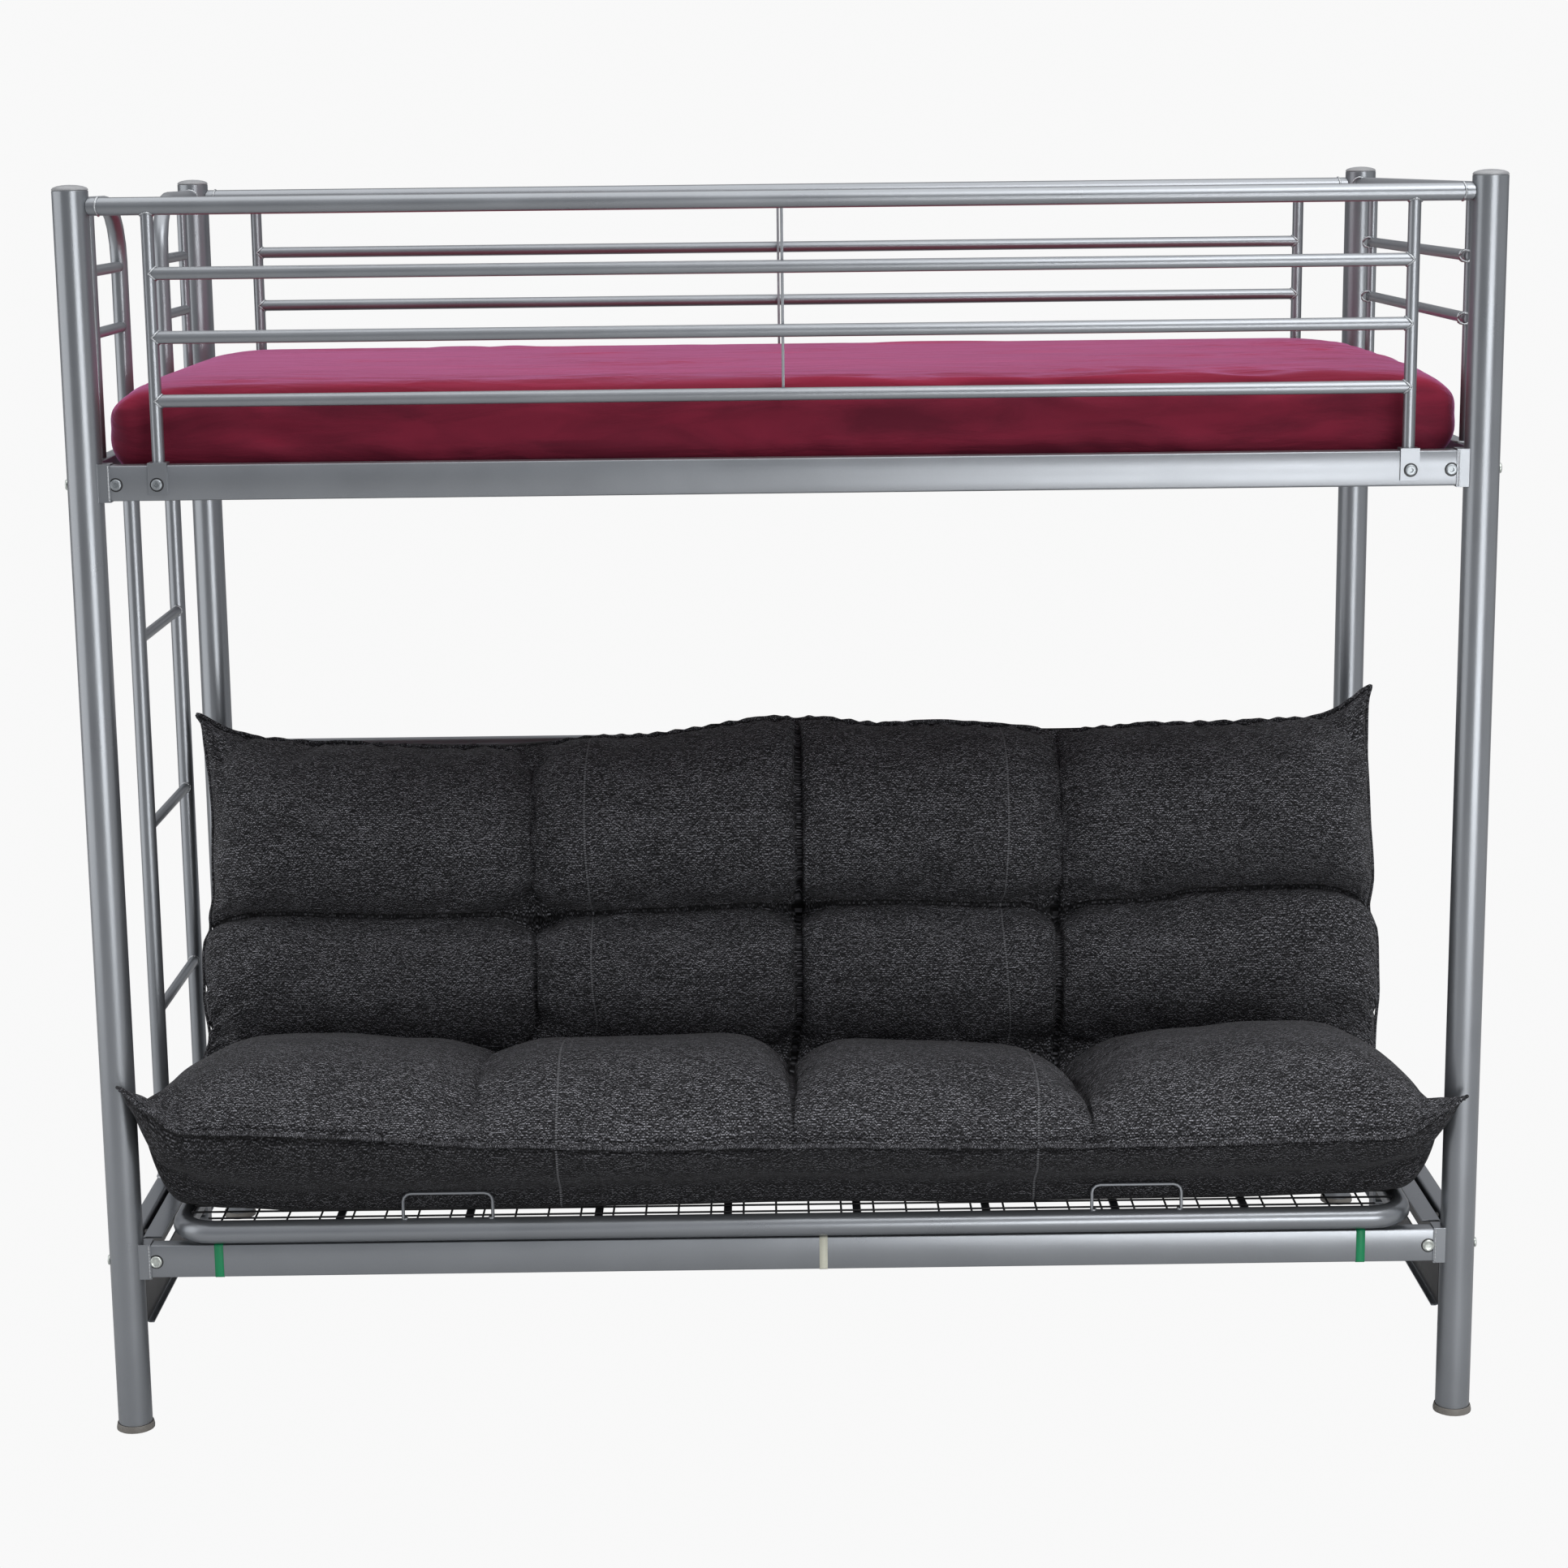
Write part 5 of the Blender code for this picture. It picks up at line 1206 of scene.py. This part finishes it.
def ladder_welds(where, y, inward):
    leg, leg_r = middle("ladder_leg_" + where), size("ladder_leg_" + where).x / 2
    hoop_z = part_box("ladder_hoop_" + where)[1].z - leg_r
    yield weld_ring((leg.x, y, hoop_z), inward, Z_AXIS, leg_r, POST_R)
    for rail_z, out in ((UPPER_RAIL_Z, Z_AXIS), (UPPER_RAIL_Z, -Z_AXIS), (LOWER_RAIL_Z, Z_AXIS)):
        yield weld_ring((leg.x, leg.y, rail_z + out[2] * RAIL_H / 2), out, X_AXIS, leg_r)
    for level in ("low", "mid", "high"):
        rung = "ladder_rung_" + level
        spot = (leg.x, leg.y, middle(rung).z)
        yield weld_ring(spot, inward, Z_AXIS, size(rung).z / 2, leg_r)


def end_welds(where, y, inward):
    tube_z, tube_r = middle("end_top_tube").z, size("end_top_tube").z / 2
    stem = "end_guard_upright_" + where
    stem_y, stem_r = middle(stem).y, size(stem).x / 2
    yield weld_ring((POST_X, y, tube_z), inward, Z_AXIS, tube_r, POST_R)
    yield weld_ring((POST_X, stem_y, tube_z), -Z_AXIS, Y_AXIS, stem_r, tube_r)
    yield weld_ring((POST_X, stem_y, UPPER_RAIL_Z + RAIL_H / 2), Z_AXIS, Y_AXIS, stem_r)
    for level in ("high", "mid"):
        rail = "end_guard_rail_" + level
        spot = (POST_X, stem_y, middle(rail).z)
        for out in (Y_AXIS, -Y_AXIS):
            yield weld_ring(spot, out, Z_AXIS, size(rail).z / 2, stem_r)


def frame_welds():
    for where, y in (("front", FRONT_Y), ("back", BACK_Y)):
        yield from guard_welds(where, y)
    for where, y, inward in (("front", FRONT_Y, Y_AXIS), ("back", BACK_Y, -Y_AXIS)):
        yield from ladder_welds(where, y, inward)
        yield from end_welds(where, y, inward)
    for rail_z in (LOWER_RAIL_Z, UPPER_RAIL_Z):
        for sign in (-1, 1):
            for y, face in ((FRONT_Y, -1), (BACK_Y, 1)):
                yield rail_weld(sign, y, face, rail_z)


def seat_welds():
    for centre in (-LOOP_X, LOOP_X):
        for side in (-1, 1):
            spot = (centre + side * (LOOP_WIDTH / 2 - LOOP_WIRE_R), SEAT_TUBE_Y, SEAT_TUBE_Z)
            yield weld_ring(spot, Z_AXIS, X_AXIS, LOOP_WIRE_R + 0.0002, FUTON_TUBE_R)


# Bolts and bands
BOLT_X = 0.935
TAB_BOLT_X = 0.877
UPPER_BOLT_Z = 1.403
BOLT_SIDES = 24
# Kinds of heads: radius, height and half width of the socket
RAIL_BOLT = (0.0088, 0.003, 0)
SOCKET_BOLT = (0.0080, 0.003, 0.0028)
TAB_BOLT = (0.0080, 0.0035, 0.0028)
POST_BOLT = (0.0075, 0.0032, 0)
POST_BOLT_SUNK = 0.0006
# The painted shade round a head, a thin black disc under it: how much wider it is, and how high
GAP_WIDTH = 0.0018
GAP_HEIGHT = 0.0006
BANDS = (
    ("band_left", -0.8425, 0.013, "green"),
    ("band_middle", 0.045, 0.012, "beige"),
    ("band_right", 0.835, 0.013, "green"),
)
BAND_LIFT = 0.0006
BAND_THICKNESS = 0.0005
RAIL_CORNER = 0.0036


def bolt_head(place, out, radius, height, hexagon):
    """A round head on a face, with a rolled edge and a hexagon socket or a shallow dish."""
    side = np.cross(out, Z_AXIS)
    up = np.cross(side, out)
    a = np.arange(BOLT_SIDES) * math.tau / BOLT_SIDES
    rings = [(radius, 0.0), (radius, 0.55), (radius * 0.90, 0.9), (radius * 0.78, 1.0)]
    if hexagon:
        flat = hexagon / np.cos((a + math.pi / 6) % (math.pi / 3) - math.pi / 6)
        rings += [(flat * 1.12, 1.0), (flat, 0.85), (flat, 0.2)]
    else:
        rings += [(radius * 0.70, 0.80), (radius * 0.35, 0.72)]
    verts = []
    for r, level in rings:
        ring = np.outer(np.cos(a) * r, side) + np.outer(np.sin(a) * r, up)
        verts.append(np.array(place) + ring + out * (height * level))
    return np.vstack(verts), ring_faces(len(rings), BOLT_SIDES)


def make_bolts(zinc, dark_zinc, gap_shade_black):
    """Bolts on the rails, guard tabs and posts. Those in front sit on a thin black disc that paints
    the shade of the gap round them.
    """
    pale, dark, gap_shades = [], [], []
    front_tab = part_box("guard_upright_front_left")[0].y
    back_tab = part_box("guard_upright_back_left")[1].y
    sides = ((FRONT_Y - RAIL_W / 2, front_tab, -Y_AXIS), (BACK_Y + RAIL_W / 2, back_tab, Y_AXIS))
    for sign in (-1, 1):
        for rail_y, tab_y, out in sides:
            heads = (
                ((sign * BOLT_X, rail_y, LOWER_RAIL_Z), RAIL_BOLT, pale),
                ((sign * BOLT_X, rail_y, UPPER_BOLT_Z), SOCKET_BOLT, dark),
                ((sign * TAB_BOLT_X, tab_y, UPPER_BOLT_Z), TAB_BOLT, dark),
            )
            for spot, shape, kind in heads:
                kind.append(bolt_head(spot, out, *shape))
                if rail_y < FRONT_Y:
                    # A black disc under the head, wider than it, paints the shade of the gap round
                    # it.
                    gap_shades.append(bolt_head(spot, out, shape[0] + GAP_WIDTH, GAP_HEIGHT, 0))
        for y in (FRONT_Y, BACK_Y):
            for z in (LOWER_RAIL_Z, UPPER_BOLT_Z):
                spot = (sign * (POST_X + POST_R - POST_BOLT_SUNK), y, z)
                pale.append(bolt_head(spot, sign * X_AXIS, *POST_BOLT))
    made = (("bolts", pale, zinc), ("socket_bolts", dark, dark_zinc), ("bolt_gap_shade", gap_shades, gap_shade_black))
    for name, parts, material in made:
        obj = mesh_object(name, *joined(parts), material)
        obj.data.set_sharp_from_angle(angle=math.radians(38))
        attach(obj, "bunk_frame")


def make_bands(colors):
    """Thin tape wrapped once round the lower front rail."""
    half_y, half_z = (side / 2 + BAND_LIFT - RAIL_CORNER for side in (RAIL_W, RAIL_H))
    outline = []
    for side_y, side_z, start in ((1, 1, 0), (-1, 1, 90), (-1, -1, 180), (1, -1, 270)):
        for step in range(5):
            a = math.radians(start + 22.5 * step)
            y = side_y * half_y + RAIL_CORNER * math.cos(a)
            outline.append((y, side_z * half_z + RAIL_CORNER * math.sin(a)))
    count = len(outline)
    faces = [(i, (i + 1) % count, (i + 1) % count + count, i + count) for i in range(count)]
    for name, x, width, color in BANDS:
        verts = []
        for edge in (-width / 2, width / 2):
            verts += [(x + edge, FRONT_Y + y, LOWER_RAIL_Z + z) for y, z in outline]
        obj = mesh_object(name, verts, faces, colors[color])
        obj.modifiers.new("thickness", "SOLIDIFY").thickness = BAND_THICKNESS
        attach(obj, "bunk_frame")


WELD_DISTANCE = 0.00001
EDGE_ROUND = {
    "width": 0.0006, "segments": 2, "limit_method": "ANGLE", "angle_limit": math.radians(42),
    "harden_normals": True, "use_clamp_overlap": True,
}


def dress_nodes(finishes):
    """Gives the CAD pieces their paint, smooth shading and slightly rounded edges."""
    for name, obj in nodes.items():
        mesh = obj.data
        for attribute in ("custom_normal", "sharp_edge", "sharp_face"):
            if attribute in mesh.attributes:
                mesh.attributes.remove(mesh.attributes[attribute])
        shade_smooth(mesh)
        for slot in obj.material_slots:
            key = slot.material.name.split(".")[0] if slot.material else "silver"
            slot.material = finishes.get(name, finishes.get(key, finishes["silver"]))
        obj.modifiers.new("weld", "WELD").merge_threshold = WELD_DISTANCE
        set_all(obj.modifiers.new("edges", "BEVEL"), **EDGE_ROUND)


# Light
WHITE = (0.945, 0.945, 0.945)


def make_world():
    world = bpy.data.worlds.new("studio")
    scene.world = world
    world.use_nodes = True
    tree = world.node_tree
    tree.nodes.clear()
    s = Shader("world", tree)
    seen = s.node("ShaderNodeLightPath").outputs["Is Camera Ray"]
    height = s.axis(s.node("ShaderNodeTexCoord").outputs["Generated"], 2)
    soft = s.ramp(
        s.remap(height, -1.0, 1.0),
        (0.0, (0.30, 0.30, 0.31)),
        (0.49, (0.15, 0.16, 0.175)),
        (0.57, (0.34, 0.35, 0.37)),
        (0.75, (0.50, 0.50, 0.52)),
        (1.0, (0.85, 0.85, 0.85)),
    )
    color = s.blend(seen, soft, WHITE)
    ground = s.node("ShaderNodeBackground", {"Color": color, "Strength": 1.0})
    s.node("ShaderNodeOutputWorld", {"Surface": ground.outputs[0]})


FLOOR_HALF = 40.0


def make_floor():
    """A plain pale floor, as bright as the ground behind."""
    verts = [(x * FLOOR_HALF, y * FLOOR_HALF, 0) for x, y in ((-1, -1), (1, -1), (1, 1), (-1, 1))]
    s = Shader("floor")
    s.surface(Base_Color=(0.50, 0.50, 0.50, 1.0), Roughness=0.7)
    seen = s.node("ShaderNodeLightPath").outputs["Is Camera Ray"]
    glow = s.node("ShaderNodeEmission", {"Color": (*WHITE, 1.0), "Strength": 1.0})
    mix = s.node("ShaderNodeMixShader", {0: seen, 1: s.bsdf.outputs[0], 2: glow.outputs[0]})
    s.feed(s.tree.nodes["Material Output"].inputs["Surface"], mix.outputs[0])
    floor = mesh_object("floor", verts, [(0, 1, 2, 3)], s.material)


LIGHTS = (
    ("overhead", (0.0, -0.2, 4.8), (0.0, 0.0, 0.6), (7.0, 4.6), 115.0),
    ("high_right", (1.6, -2.6, 4.2), (0.7, -0.5, 1.6), (2.6, 1.8), 60.0),
    ("floor_right", (1.5, -3.6, 0.05), (0.8, -0.5, 1.7), (2.2, 1.7), 48.0),
    ("left_wall", (-3.6, -0.7, 1.25), (0.0, -0.1, 1.0), (3.4, 2.6), 34.0),
    ("right_wall", (3.8, -0.7, 1.5), (0.0, -0.2, 1.2), (3.4, 3.0), 8.0),
    ("low_front", (2.5, -6.3, 1.45), (0.9, 0.0, 1.3), (3.6, 0.8), 69.0),
)


def make_lights():
    for name, place, target, shape, watts in LIGHTS:
        data = bpy.data.lights.new(name, "AREA")
        set_all(data, shape="RECTANGLE", size=shape[0], size_y=shape[1], energy=watts)
        light = put_in_scene(name, data)
        light.location = place
        ahead = Vector(target) - Vector(place)
        light.rotation_euler = ahead.to_track_quat("-Z", "Y").to_euler()


scene.view_settings.view_transform = "Standard"
make_camera()
make_world()
make_floor()
make_lights()

silver = silver_paint("silver_paint").material
black = black_coat("black_coat")
bead_metal = bare_metal("weld_metal", (0.50, 0.52, 0.54), 0.34)
zinc = bare_metal("zinc", (0.66, 0.70, 0.66), 0.36)
dark_zinc = bare_metal("dark_zinc", (0.40, 0.43, 0.45), 0.34)
finishes = {
    "silver": silver,
    "cap_grey": moulded_plastic("cap_plastic", (0.27, 0.275, 0.285), 0.34),
    "foot_grey": moulded_plastic("foot_plastic", (0.17, 0.16, 0.145), 0.5),
    "black_steel": black,
    "nylon": moulded_plastic("nylon", (0.03, 0.03, 0.03), 0.5),
    "side_plate_left": side_plate_coat("side_plate"),
}
finishes["side_plate_right"] = finishes["side_plate_left"]
dress_nodes(finishes)

# The cover's material paints shade on its lower face, the crease across the back and under the sewn
# edge; the edging's has none.
make_futon(heather_weave("heather_weave", 0.45), heather_weave("heather_edging"))
make_mattress(plum_sheet("plum_sheet"))
make_wire_mesh("seat_net", "seat_frame", black)
make_wire_mesh("back_net", "back_frame", black)
welds = mesh_object("frame_welds", *joined(frame_welds()), bead_metal)
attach(welds, "bunk_frame")
loop_welds = mesh_object("loop_welds", *joined(seat_welds()), bead_metal)
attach(loop_welds, "seat_frame")
make_bolts(zinc, dark_zinc, black)
green, beige = tape("green_tape", (0.0, 0.24, 0.09)), tape("beige_tape", (0.60, 0.60, 0.50))
make_bands({"green": green, "beige": beige})
